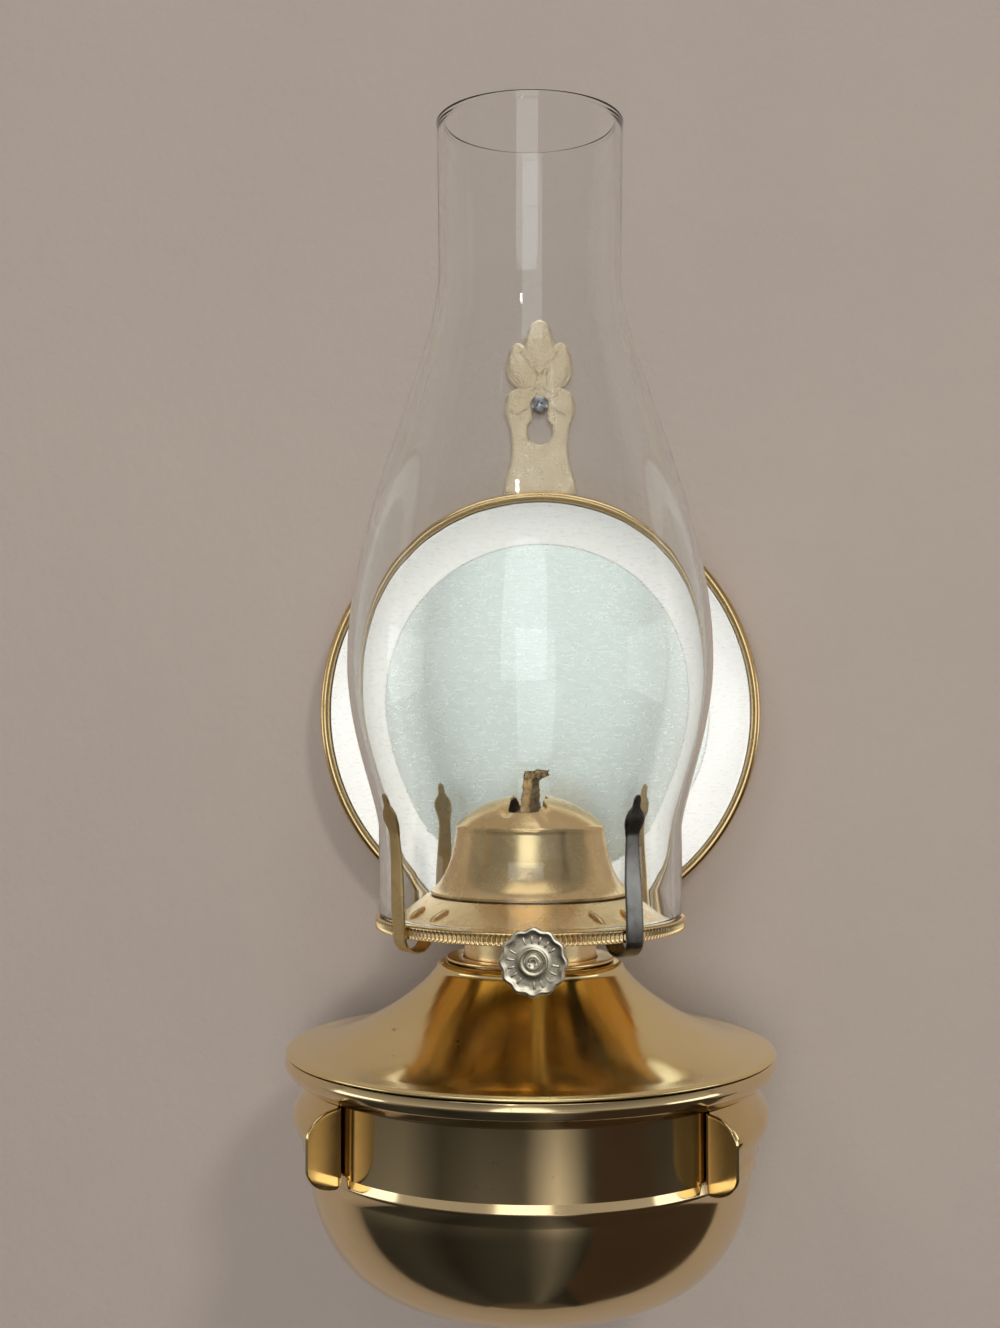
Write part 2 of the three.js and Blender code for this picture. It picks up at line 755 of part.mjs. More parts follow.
function airBasket() {
  const footTop = baseTop + seatGap + burnerSheet;
  const topSide = [
    [basketTopRadius + basketTopFlange, basketTop],
    [basketTopRadius, basketTop],
    [baseFlangeRadius, footTop],
    [baseFlangeRadius - basketFootFlange, footTop],
  ];
  const basket = turned(sheetSection(topSide, burnerSheet), collarFacets);
  const holes = [];
  for (let index = 0; index < basketHoles; index += 1) {
    const hole = outwardPin(basketHoleRadius, baseRadius, galleryRadius, holeFacets);
    hole.translate(0, 0, (basketTop + footTop - burnerSheet) / 2);
    hole.rotateZ(2 * Math.PI * index / basketHoles);
    holes.push(hole);
  }
  return cut(basket, holes);
}

// Height of the gallery's sloping deck at a radius
function deckHeight(radius) {
  return galleryTop + (galleryLedgeRadius - radius) * Math.tan(deckSlope);
}

function gallery() {
  const topSide = [
    [galleryRadius, galleryTop - galleryLipHeight],
    [galleryRadius, galleryTop - galleryLipRound],
    [galleryRadius - galleryLipRound, galleryTop],
    [galleryLedgeRadius, galleryTop],
    [domeSeatRadius, domeSeatHeight],
    [domeSeatRadius - domeSeatWidth, domeSeatHeight],
  ];
  const deck = turned(sheetSection(topSide, burnerSheet), tankFacets);
  const sunk = burnerSheet / 2;
  const nib = new THREE.BoxGeometry(nibLength, nibThickness, nibHeight + sunk);
  nib.translate(0, 0, (nibHeight - sunk) / 2);
  nib.rotateY(deckSlope);
  nib.translate(nibRadius, 0, deckHeight(nibRadius));
  const nibs = prongNames.flatMap((name, index) => [-1, 1].map((side) => (
    nib.clone().rotateZ(prongAngle(index) + side * THREE.MathUtils.degToRad(nibSpreadDegrees))
  )));
  return join([deck, ...nibs]);
}

function burnerDome() {
  const skirt = [domeSkirtRadius, domeFoot + burnerSheet];
  const crease = [domeCreaseRadius, domeFoot + domeCreaseHeight];
  const top = [0, crease[1] + domeCapHeight];
  const line = (steps) => [
    [domeSkirtRadius, domeFoot],
    ...sweep(skirt, crease, [0.62, 0.14], [0.9, 0.53], steps),
    ...sweep(crease, top, [0.22, 0.56], [0.54, 0.99], steps).slice(1),
  ];
  const slotEndSegments = 3;
  const slot = slotShape(domeSlotWidth, domeSlotLength);
  const dome = turned(sheetSection(line(5), burnerSheet, line(3)), burnerFacets);
  return cut(dome, [prism(slot, crease[1] - cutOverrun, top[1] + cutOverrun, slotEndSegments)]);
}

// Wick, its tube and the wheels that raise it

function spurPlace(index) {
  return (index - (spurCount - 1) / 2) * spurSpacing;
}

function wickTube() {
  const endSegments = 3;
  const outline = slotShape(tubeDepth, tubeWidth);
  outline.holes.push(slotShape(tubeInnerDepth, tubeInnerWidth));
  const tube = prism(outline, wickTubeBottom, wickTubeTop, endSegments);
  const toTube = shaftOffset - tubeDepth / 2;
  const halfChord = Math.sqrt(spurRadius ** 2 - toTube ** 2);
  const windowHeight = 2 * halfChord + 4 * seatGap;
  const windowWidth = spurThickness + 2 * seatGap;
  const windows = [];
  for (let index = 0; index < spurCount; index += 1) {
    const window = new THREE.BoxGeometry(shaftOffset, windowWidth, windowHeight);
    windows.push(window.translate(shaftOffset / 2, spurPlace(index), shaftHeight));
  }
  return cut(tube, windows);
}

function wick() {
  const endSegments = 3;
  return prism(slotShape(wickThickness, wickWidth), wickBottom, wickTop, endSegments);
}

function circlePath(radius) {
  return new THREE.Path().absarc(0, 0, radius, 0, 2 * Math.PI);
}

function spurWheel(index) {
  // One tooth as [share of the pitch, share of the wheel's radius]
  const toothShares = [[0, 0.74], [0.34, 0.74], [0.52, 1], [0.82, 1]];
  const corners = [];
  for (let tooth = 0; tooth < spurTeeth; tooth += 1) {
    for (const [along, out] of toothShares) {
      const angle = 2 * Math.PI * (tooth + along) / spurTeeth;
      const corner = new THREE.Vector2(Math.cos(angle), Math.sin(angle));
      corners.push(corner.multiplyScalar(out * spurRadius));
    }
  }
  const outline = new THREE.Shape(corners);
  outline.holes.push(circlePath(shaftBoreRadius));
  const back = spurPlace(index) - spurThickness / 2;
  return onShaft(facingPlate(outline, back, spurThickness, pinFacets / 2));
}

function shaftSleeve() {
  return onShaft(turnedOutward([
    [shaftBoreRadius, sleeveInnerEnd],
    [sleeveRadius, sleeveInnerEnd],
    [sleeveRadius, sleeveOuterEnd],
    [shaftBoreRadius, sleeveOuterEnd],
  ], pinFacets));
}

function wickShaft() {
  const headBack = thumbwheelFront + seatGap;
  return onShaft(turnedOutward([
    [0, -shaftBack],
    [shaftRadius, -shaftBack],
    [shaftRadius, headBack],
    [shaftHeadRadius, headBack],
    [shaftHeadRadius, headBack + shaftHeadThickness],
    [0, headBack + shaftHeadThickness],
  ], pinFacets));
}

function thumbwheel() {
  const cornersPerScallop = 4;
  const cornerCount = thumbwheelScallops * cornersPerScallop;
  const corners = [];
  for (let index = 0; index < cornerCount; index += 1) {
    const angle = 2 * Math.PI * index / cornerCount;
    const dip = scallopDepth * (1 - Math.cos(thumbwheelScallops * angle)) / 2;
    const corner = new THREE.Vector2(Math.cos(angle), Math.sin(angle));
    corners.push(corner.multiplyScalar(thumbwheelRadius - dip));
  }
  const outline = new THREE.Shape(corners);
  outline.holes.push(circlePath(shaftBoreRadius));
  const back = thumbwheelFront - thumbwheelThickness;
  const disc = facingPlate(outline, back, thumbwheelThickness, pinFacets / 2);
  const groove = turnedOutward([
    [hubRadius, thumbwheelFront - hubGrooveDepth],
    [hubGrooveRadius, thumbwheelFront - hubGrooveDepth],
    [hubGrooveRadius, thumbwheelFront + cutOverrun],
    [hubRadius, thumbwheelFront + cutOverrun],
  ], pinFacets);
  return onShaft(cut(disc, [groove]));
}

// Chimney

function chimneyLine(bellySteps, neckSteps) {
  const shoulder = [chimneyBaseRadius, chimneyFoot + chimneyBaseHeight];
  const belly = [chimneyBellyRadius, chimneyFoot + chimneyBellyHeight];
  const neck = [chimneyNeckRadius, chimneyFoot + chimneyNeckHeight];
  return [
    [chimneyBaseRadius, chimneyFoot],
    ...sweep(shoulder, belly, [0.163, 0.232], [1, 0.561], bellySteps),
    ...sweep(belly, neck, [0, 0.401], [1, 0.762], neckSteps).slice(1),
    [chimneyRimRadius, chimneyFoot + chimneyHeight],
  ];
}

function chimney() {
  return turned(sheetSection(chimneyLine(6, 6), glassWall, chimneyLine(3, 4)), tankFacets);
}

function glassRadiusAt(height) {
  const line = chimneyLine(6, 6);
  const next = Math.max(line.findIndex((point) => point[1] >= height), 1);
  const [below, above] = [line[next - 1], line[next]];
  return THREE.MathUtils.mapLinear(height, below[1], above[1], below[0], above[0]);
}

// Prongs: each hangs from the deck, passes under the lip and springs up against the glass

function prongAngle(index) {
  return THREE.MathUtils.degToRad(firstProngDegrees + 90 * index);
}

function chimneyProng(leanDegrees) {
  const legRadius = galleryRadius + seatGap;
  const bendRadius = (legRadius - prongInnerLegRadius) / 2;
  const bendCentre = [legRadius - bendRadius, prongBottom + prongThickness + bendRadius];
  const underDeck = (radius) => deckHeight(radius) - (burnerSheet + seatGap) / Math.cos(deckSlope);
  const footRadius = prongInnerLegRadius - prongFootReach;
  const below = [
    [footRadius, underDeck(footRadius)],
    [prongInnerLegRadius, underDeck(prongInnerLegRadius)],
    ...arc(bendCentre, bendRadius, 180, 360, 8),
  ];

  // The outer leg as [share of its height, share of its width]: neck, round head and pointed tip
  const legShares = [
    [0, 1], [0.35, 0.96], [0.56, 0.8], [0.68, 0.75], [0.74, 0.97], [0.81, 1.1], [0.87, 0.97],
    [0.92, 0.42], [0.98, 0.36], [1, 0.18],
  ];
  const gripShare = 0.56;
  const lipStep = legRadius - chimneyBaseRadius - seatGap;
  const leg = legShares.map(([up]) => {
    const height = THREE.MathUtils.lerp(galleryTop, prongTop, up);
    const drawnIn = lipStep * (1 - THREE.MathUtils.smoothstep(up, 0, gripShare));
    const lean = (height - bendCentre[1]) * Math.tan(THREE.MathUtils.degToRad(leanDegrees));
    return [glassRadiusAt(height) + seatGap + drawnIn + lean, height];
  });
  const halfWidth = prongWidth / 2;
  const halfWidths = [...below.map(() => halfWidth), ...legShares.map(([, wide]) => wide * halfWidth)];
  return bentStrip([...below, ...leg], prongThickness, halfWidths);
}

// Assembly

const bracketPieces = [
  piece('back_strap', backStrap(), oldBrass),
  piece('reflector_frame', reflectorFrame(), brass),
  piece('reflector_dish', reflectorDish(), silvered),
  piece('reflector_rivet_upper', reflectorRivet(reflectorRivetPlaces[0]), oldBrass),
  piece('reflector_rivet_lower', reflectorRivet(reflectorRivetPlaces[1]), oldBrass),
  piece('clip_rivet_left', clipRivet(clipRivetPlaces[0]), oldBrass),
  piece('clip_rivet_right', clipRivet(clipRivetPlaces[1]), oldBrass),
];

const tankPieces = [
  piece('font_clip', fontClip(), brass),
  piece('tank_bowl', tankBowl(), brass),
  piece('tank_shoulder', tankShoulder(), brass),
  piece('tank_collar', tankCollar(), brass),
];

const burnerPieces = [
  piece('burner_base', burnerBase(), brass),
  piece('air_basket', airBasket(), brass),
  piece('gallery', gallery(), brass),
  piece('burner_dome', burnerDome(), brass),
  piece('wick_tube', wickTube(), brass),
  piece('wick', wick(), cotton),
  piece('shaft_sleeve', shaftSleeve(), brass),
  piece('wick_shaft', wickShaft(), nickel),
  piece('thumbwheel', thumbwheel(), nickel),
  piece('chimney', chimney(), clearGlass),
];
for (let index = 0; index < spurCount; index += 1) {
  burnerPieces.push(piece(`spur_wheel_${index + 1}`, spurWheel(index), nickel));
}
prongNames.forEach((name, index) => {
  const prong = chimneyProng(prongLeanDegrees[index]);
  prong.rotateZ(prongAngle(index));
  burnerPieces.push(piece(name, prong, name.endsWith('front_right') ? darkSteel : oldBrass));
});
for (const mesh of burnerPieces) {
  mesh.geometry.rotateZ(THREE.MathUtils.degToRad(burnerTurnDegrees));
}
for (const mesh of [...tankPieces, ...burnerPieces]) {
  mesh.geometry.translate(0, -lampStandoff, -reflectorHeight);
}

const lamp = new THREE.Group();
lamp.name = 'wall_bracket_lamp';
lamp.add(...bracketPieces, ...tankPieces, ...burnerPieces);

export default lamp;
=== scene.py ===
from math import acos, asin, atan2, cos, degrees, dist, exp, pi, radians, sin, sqrt, tan

import bmesh
import bpy
import numpy as np
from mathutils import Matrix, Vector
from mathutils.geometry import delaunay_2d_cdt


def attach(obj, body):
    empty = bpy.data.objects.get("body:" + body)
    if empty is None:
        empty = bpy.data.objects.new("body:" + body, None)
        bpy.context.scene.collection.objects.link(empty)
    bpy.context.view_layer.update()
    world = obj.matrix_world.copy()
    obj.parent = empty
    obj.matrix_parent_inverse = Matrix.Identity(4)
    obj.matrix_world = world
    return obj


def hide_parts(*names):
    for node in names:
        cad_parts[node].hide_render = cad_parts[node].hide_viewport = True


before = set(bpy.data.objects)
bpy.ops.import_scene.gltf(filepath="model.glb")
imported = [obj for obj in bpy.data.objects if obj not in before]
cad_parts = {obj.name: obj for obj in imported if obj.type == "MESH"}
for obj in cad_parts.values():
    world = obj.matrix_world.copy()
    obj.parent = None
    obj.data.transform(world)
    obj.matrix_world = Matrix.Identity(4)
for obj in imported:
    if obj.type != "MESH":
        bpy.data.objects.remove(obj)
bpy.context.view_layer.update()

# Sizes in millimetres, as in the CAD part. H is a height above the tank's bottom
AXIS_REACH = 63.5
REFLECTOR_H = 141.6
BURNER_TURN = radians(-4)
SHAFT_X = 6.2
SHAFT_H = 85.9
GLASS_FOOT = 91.4
GLASS_RISE = 198.8
GLASS_SHEET = 1.6
TANK_SHEET = 0.8
THIN_SHEET = 0.6
STRAP_SHEET = 1.2
HALF_STRAP = 10.9
THREAD_PITCH = 1.6

# Sizes of the stage in metres
WALL_Y = 0.0004
FLOOR_Z = -0.9


def add_object(name, data):
    obj = bpy.data.objects.new(name, data)
    bpy.context.scene.collection.objects.link(obj)
    return obj


# Camera

camera_data = bpy.data.cameras.new("camera")
camera_data.sensor_fit = "AUTO"
camera_data.sensor_width = 24
camera_data.lens = 30.2
camera_data.clip_start = 0.01
camera = add_object("camera", camera_data)
camera.location = (0.0202, -0.4811, -0.0014)
camera.rotation_euler = (radians(91.8), 0, radians(3.8))
bpy.context.scene.camera = camera


# Lines in the plane of a section, as lists of (radius, height)

def turns_round(count):
    return np.linspace(0, 2 * pi, count, endpoint=False)


def along(a, b, shares):
    """Points at some shares of the way from a to b."""
    return [(a[0] + (b[0] - a[0]) * t, a[1] + (b[1] - a[1]) * t) for t in shares]


def arc(centre, radius, start, end, steps):
    turns = np.radians(np.linspace(start, end, steps + 1))
    return [(centre[0] + radius * cos(t), centre[1] + radius * sin(t)) for t in turns]


def sweep(start, end, first, second, steps):
    """A Bezier curve whose handles are shares of the way from start to end."""
    a, d = np.array(start, float), np.array(end, float)
    b, c = a + (d - a) * first, a + (d - a) * second
    t = np.linspace(0, 1, steps + 1)[:, None]
    points = a * (1 - t) ** 3 + 3 * b * t * (1 - t) ** 2 + 3 * c * t ** 2 * (1 - t) + d * t ** 3
    return [tuple(p) for p in points]


def offset(line, distance):
    """The line moved to its left, with mitred corners."""
    p = np.array(line, float)
    step = np.diff(p, axis=0)
    step /= np.linalg.norm(step, axis=1)[:, None]
    normal = np.stack([-step[:, 1], step[:, 0]], 1)
    before = np.vstack([normal[:1], normal])
    after = np.vstack([normal, normal[-1:]])
    middle = before + after
    middle /= np.linalg.norm(middle, axis=1)[:, None]
    moved = p + middle * (distance / np.sum(middle * before, axis=1))[:, None]
    moved[p[:, 0] == 0, 0] = 0
    return [tuple(q) for q in moved]


def rounded(points, rounds, closed=True, steps=4):
    """Rounds the corners of a line. rounds maps a corner's index to its radius."""
    out = []
    points = np.array(points, float)
    for i, here in enumerate(points):
        size = rounds.get(i, 0)
        if not size or (not closed and i in (0, len(points) - 1)):
            out.append(tuple(here))
            continue
        back, ahead = points[i - 1] - here, points[(i + 1) % len(points)] - here
        long_back, long_ahead = np.linalg.norm(back), np.linalg.norm(ahead)
        back, ahead = back / long_back, ahead / long_ahead
        half = acos(max(-1, min(1, float(back @ ahead)))) / 2
        reach = min(size / tan(half), 0.47 * long_back, 0.47 * long_ahead)
        start, end = here + back * reach, here + ahead * reach
        for k in range(steps + 1):
            t = k / steps
            out.append(tuple((1 - t) ** 2 * start + 2 * t * (1 - t) * here + t * t * end))
    return out


def sheet(face, thickness, soft=0.42):
    """The closed section of a pressed sheet with soft edges, its face on the outside."""
    section = list(face) + offset(face, thickness)[::-1]
    count = len(face)
    size = thickness * soft
    rounds = {}
    if face[0][0] > 0:
        rounds.update({0: size, 2 * count - 1: size})
    if face[-1][0] > 0:
        rounds.update({count - 1: size, count: size})
    return rounded(section, rounds)


def denser(section, steps, wanted):
    """The closed section with each side for which wanted(start, end) holds parted into steps."""
    out = []
    for start, end in zip(section, section[1:] + section[:1]):
        out.append(start)
        if wanted(start, end):
            out += along(start, end, np.linspace(0, 1, steps + 1)[1:-1])
    return out


def fade(value, low, high, over):
    """1 between low and high, falling to 0 towards both over some length."""
    return max(0, min((value - low) / over, (high - value) / over, 1))


def thread(low, high, depth, least_radius=0):
    """A ripple for lathe, with screw thread between two heights."""
    def ripple(radius, height, turns):
        deep = depth * fade(height, low, high, 0.8) * (radius >= least_radius)
        return deep * np.cos(2 * pi * height / THREAD_PITCH - turns)

    return ripple


# Solids, as (points, faces) in millimetres

def quads(grid):
    """Four-sided faces over a grid of point numbers."""
    return np.stack([grid[:-1, :-1], grid[:-1, 1:], grid[1:, 1:], grid[1:, :-1]], -1).reshape(-1, 4).tolist()


def ring_at(radius, turns, height):
    return np.stack([radius * np.cos(turns), radius * np.sin(turns), np.full(len(turns), height)], 1)


def lathe(section, segments, ripple=None):
    """A closed section turned round the axis. ripple(radius, height, turns) adds to the radius."""
    points, numbers = [], []
    turns = turns_round(segments)
    for radius, height in section:
        if radius < 1e-6:
            numbers.append([len(points)] * segments)
            points.append((0, 0, height))
        else:
            numbers.append(range(len(points), len(points) + segments))
            size = radius + (ripple(radius, height, turns) if ripple else 0)
            points.extend(ring_at(size, turns, height))
    faces = [tuple(dict.fromkeys(f)) for f in quads(np.pad(numbers, ((0, 1), (0, 1)), mode="wrap"))]
    return np.array(points, float), [f for f in faces if len(f) > 2]


def between_grids(near, far):
    """A closed solid between two grids of points, near[column][row] and far[column][row]."""
    points = np.concatenate([near, far]).reshape(-1, 3)
    a, b = np.arange(len(points)).reshape(2, len(near), -1)
    faces = quads(a.T) + quads(b)
    for edge in ((a[:, 0], b[:, 0]), (a[-1], b[-1])):
        faces += quads(np.stack(edge, 1))
    for edge in ((a[:, -1], b[:, -1]), (a[0], b[0])):
        faces += quads(np.stack(edge))
    return points, faces


def strip(line, back_line, halves, across, soft, near_soft=1):
    """
    A strip with soft edges between two lines, in (radius, across, height).

    halves holds its half widths. across holds the rows as shares of them, soft how far each is drawn in.
    """
    near, far = [], []
    for (r, h), (r2, h2), half in zip(line, back_line, halves):
        near.append([(r + (r2 - r) * s * near_soft, half * a, h + (h2 - h) * s * near_soft)
                     for a, s in zip(across, soft)])
        far.append([(r2 + (r - r2) * s, half * a, h2 + (h - h2) * s) for a, s in zip(across, soft)])
    return between_grids(near, far)


def loops(rings, closed=False):
    """A solid through rings of equally many points. Closed, its last ring meets its first."""
    points = np.concatenate([np.asarray(r, float) for r in rings])
    numbers = np.arange(len(points)).reshape(len(rings), -1)
    faces = quads(np.pad(numbers, ((0, int(closed)), (0, 1)), mode="wrap"))
    if not closed:
        faces += [numbers[0, ::-1].tolist(), numbers[-1].tolist()]
    return points, faces


# Places. The wall's frame has its origin at the reflector's middle, z up and y into the wall

def in_place(points):
    return points


def turned_about_axis(points, turn):
    c, s = cos(turn), sin(turn)
    out = np.array(points, float)
    out[:, 0], out[:, 1] = c * points[:, 0] - s * points[:, 1], s * points[:, 0] + c * points[:, 1]
    return out


def on_lamp(points):
    """From the lamp's own frame, with its axis at 0 and heights H, to the wall's frame."""
    return points + np.array([0, -AXIS_REACH, -REFLECTOR_H])


def on_burner(points):
    return on_lamp(turned_about_axis(points, BURNER_TURN))


def round_burner(turn):
    return lambda points: on_burner(turned_about_axis(points, turn))


def outward(points, x=0.0, z=0.0):
    """A part turned about the upright axis, laid so that its height points out of the wall."""
    return np.stack([points[:, 0] + x, -points[:, 2], points[:, 1] + z], 1)


def outward_at(x, z):
    return lambda points: outward(points, x, z)


def on_shaft(points):
    """The same on the wick shaft, with reach counted from the lamp's axis."""
    return on_burner(outward(points, SHAFT_X, SHAFT_H))


# Pieces

def soften(mesh, angle):
    mesh.shade_smooth()
    mesh.set_sharp_from_angle(angle=radians(angle))


def build(name, points, faces, angle):
    mesh = bpy.data.meshes.new(name)
    mesh.from_pydata((np.asarray(points, float) / 1000).tolist(), [], faces)
    work = bmesh.new()
    work.from_mesh(mesh)
    bmesh.ops.remove_doubles(work, verts=work.verts, dist=2e-6)
    bmesh.ops.recalc_face_normals(work, faces=work.faces)
    work.to_mesh(mesh)
    work.free()
    soften(mesh, angle)
    return add_object(name, mesh)


def cutter(name, rings, where):
    points, faces = loops(rings)
    return build(name, where(points), faces, 32)


def cut_away(obj, cutters, angle):
    for cut_by in cutters:
        cut = obj.modifiers.new("cut", "BOOLEAN")
        cut.operation = "DIFFERENCE"
        cut.solver = "EXACT"
        cut.object = cut_by
    graph = bpy.context.evaluated_depsgraph_get()
    mesh = bpy.data.meshes.new_from_object(obj.evaluated_get(graph))
    obj.modifiers.clear()
    obj.data = mesh
    soften(mesh, angle)
    for cut_by in cutters:
        bpy.data.objects.remove(cut_by)


def piece(name, body, slot, look, solid, where=in_place, angle=40, cutters=(), nodes=()):
    """One piece of the part. Edges sharper than angle, in degrees, stay sharp."""
    points, faces = solid
    obj = build(name, where(points), faces, angle)
    if cutters:
        cut_away(obj, cutters, angle)
    obj.data.materials.append(look.material)
    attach(obj, body)
    if nodes:
        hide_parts(*nodes)
    return obj


def dressed(node, *args, **kwargs):
    """The piece that takes the place of one CAD node."""
    return piece(f"{node}_dressed", *args, nodes=(node,), **kwargs)


# Materials. Scales are features per metre

BLACK = (0, 0, 0)


class Look:
    """A material. Its numbers and colours may also be outputs of its own nodes."""

    def __init__(self, name):
        self.material = bpy.data.materials.new(name)
        self.material.use_nodes = True
        self.tree = self.material.node_tree
        self.shader = self.tree.nodes["Principled BSDF"]
        self.place = self.add("TexCoord")["Object"]

    def feed(self, socket, value):
        if hasattr(value, "links"):
            self.tree.links.new(value, socket)
        else:
            socket.default_value = (*value, 1) if socket.type == "RGBA" else value

    def add(self, kind, inputs=None, **settings):
        """Adds a node and returns its outputs."""
        node = self.tree.nodes.new("ShaderNode" + kind)
        for key, value in settings.items():
            setattr(node, key, value)
        for key, value in (inputs or {}).items():
            self.feed(node.inputs[key], value)
        return node.outputs

    def set(self, **values):
        for key, value in values.items():
            self.feed(self.shader.inputs[key.replace("_", " ")], value)

    def split(self):
        return self.add("SeparateXYZ", {0: self.place})

    def scaled(self, scale, stretch):
        size = [scale * s for s in stretch]
        return self.add("Mapping", {"Vector": self.place, "Scale": size})["Vector"]

    def noise(self, scale, stretch=(1, 1, 1), detail=3.0, rough=0.5, warp=0.0):
        return self.add("TexNoise", {"Vector": self.scaled(scale, stretch), "Scale": 1, "Detail": detail,
                                     "Roughness": rough, "Distortion": warp})["Fac"]

    def spots(self, scale):
        return self.add("TexVoronoi", {"Vector": self.scaled(scale, (1, 1, 1)), "Scale": 1})["Distance"]

    def remap(self, value, low, high, to_low=0.0, to_high=1.0):
        return self.add("MapRange", {"Value": value, "From Min": low, "From Max": high,
                                     "To Min": to_low, "To Max": to_high})["Result"]

    def mix(self, share, first, second):
        return self.add("Mix", {0: share, 6: first, 7: second}, data_type="RGBA")[2]

    def math(self, kind, first, second):
        return self.add("Math", {0: first, 1: second}, operation=kind)[0]

    def bump(self, height, distance):
        """Adds relief on top of the relief that is there."""
        normal = self.shader.inputs["Normal"]
        inputs = {"Height": height, "Distance": distance, "Strength": 1}
        if normal.links:
            inputs["Normal"] = normal.links[0].from_socket
        self.feed(normal, self.add("Bump", inputs)["Normal"])

    def ramp(self, value, stops):
        """Colours along a number. stops holds (number, colour)."""
        low, high = stops[0][0], stops[-1][0]
        node = self.tree.nodes.new("ShaderNodeValToRGB")
        self.feed(node.inputs["Fac"], self.remap(value, low, high))
        elements = node.color_ramp.elements
        while len(elements) < len(stops):
            elements.new(0.5)
        for element, (at, tone) in zip(elements, stops):
            element.position = (at - low) / (high - low)
            element.color = (*tone, 1)
        return node.outputs["Color"]


def metal(name, base, aged, spot, rough, rough_spread=0.08, lines=(1, 1, 30), age=0.35, dents=0.00002,
          spots=0.5):
    """
    Worn metal: aged clouds, dark spots, brushed lines and shallow dents.

    age and spots are the most that these tones cover, and dents is a depth in metres.
    """
    look = Look(name)
    cloud = look.noise(38, detail=4, rough=0.6, warp=0.4)
    haze = look.noise(160, detail=3, rough=0.6)
    fine = look.noise(900, lines, detail=2, rough=0.7)
    tone = look.mix(look.remap(cloud, 0.42, 0.72, 0, age), base, aged)
    tone = look.mix(look.remap(haze, 0.55, 0.8, 0, age * 0.6), tone, aged)
    where = look.math("MULTIPLY", look.remap(look.spots(420), 0.16, 0.06),
                      look.remap(cloud, 0.52, 0.62, 0, spots))
    worn = look.math("ADD", look.remap(haze, 0.3, 0.75, -rough_spread, rough_spread),
                     look.remap(fine, 0.25, 0.75, -rough_spread / 2, rough_spread / 2))
    worn = look.math("ADD", worn, look.remap(cloud, 0.4, 0.7, 0, rough_spread))
    look.set(Metallic=1, Base_Color=look.mix(where, tone, spot), Roughness=look.math("ADD", worn, rough))
    look.bump(look.noise(30, detail=2), dents)
    look.bump(fine, 0.0000006)
    return look


def spotted_near(look, place, reach):
    """Adds dark specks of tarnish round one place of a metal look."""
    painted = look.shader.inputs["Base Color"].links[0].from_socket
    away = look.add("VectorMath", {0: look.place, 1: place}, operation="DISTANCE")["Value"]
    near = look.remap(away, reach, reach * 0.7)
    specks = look.remap(look.spots(620), 0.3, 0.2, 0, 0.85)
    look.set(Base_Color=look.mix(look.math("MULTIPLY", near, specks), painted, (0.09, 0.06, 0.035)))


BRASS_AGED = (0.62, 0.43, 0.19)
BRASS_SPOT = (0.16, 0.09, 0.045)

bowl_brass = metal("brass_bowl", (0.84, 0.67, 0.4), BRASS_AGED, BRASS_SPOT, 0.105, 0.03,
                   age=0.14, dents=0.00007, spots=0.3)
shoulder_brass = metal("brass_shoulder", (0.93, 0.75, 0.38), BRASS_AGED, BRASS_SPOT, 0.15, 0.04,
                       age=0.1, dents=0.00003, spots=0.3)
spotted_near(shoulder_brass, (-0.0325, -0.0868, -0.0735), 0.0034)
spotted_near(shoulder_brass, (-0.029, -0.0975, -0.0782), 0.0016)
spotted_near(shoulder_brass, (-0.0155, -0.1, -0.0755), 0.0026)
burner_brass = metal("brass_burner", (0.97, 0.74, 0.4), (0.66, 0.42, 0.17), BRASS_SPOT, 0.23, 0.06,
                     age=0.4, dents=0.00006, spots=0.2)
dark_brass = metal("brass_under_burner", (0.62, 0.45, 0.2), (0.34, 0.21, 0.08), BRASS_SPOT, 0.3, 0.1)
clip_brass = metal("brass_clip", (0.84, 0.64, 0.33), BRASS_AGED, BRASS_SPOT, 0.12, 0.05,
                   lines=(8, 8, 1), dents=0.00008)
frame_brass = metal("brass_reflector_frame", (0.8, 0.58, 0.29), (0.5, 0.32, 0.13), BRASS_SPOT, 0.2)
strap_brass = metal("brass_strap", (0.58, 0.52, 0.41), (0.46, 0.4, 0.29), (0.1, 0.07, 0.035), 0.34,
                    lines=(30, 30, 1), age=0.75, dents=0.00006, spots=0.8)
prong_brass = metal("brass_prongs", (0.66, 0.5, 0.24), (0.33, 0.23, 0.1), (0.08, 0.05, 0.03), 0.3, 0.1,
                    age=0.75)
ornament_brass = metal("brass_ornament", (0.97, 0.8, 0.58), (0.82, 0.58, 0.34), (0.12, 0.08, 0.04), 0.3,
                       age=0.6, spots=0.6)
ornament_brass.bump(ornament_brass.noise(1700, detail=2), 0.0002)
blue_steel = metal("steel_blued", (0.2, 0.19, 0.18), (0.07, 0.06, 0.055), (0.2, 0.12, 0.05), 0.24,
                   age=0.8, spots=0.4)
nickel = metal("nickel_worn", (0.72, 0.66, 0.53), (0.42, 0.36, 0.26), (0.1, 0.07, 0.04), 0.22,
               lines=(14, 1, 14), age=0.5, dents=0.00001, spots=0.3)
screw_steel = metal("steel_screw", (0.5, 0.52, 0.55), (0.28, 0.28, 0.3), (0.1, 0.07, 0.05), 0.26, 0.1,
                    age=0.6)


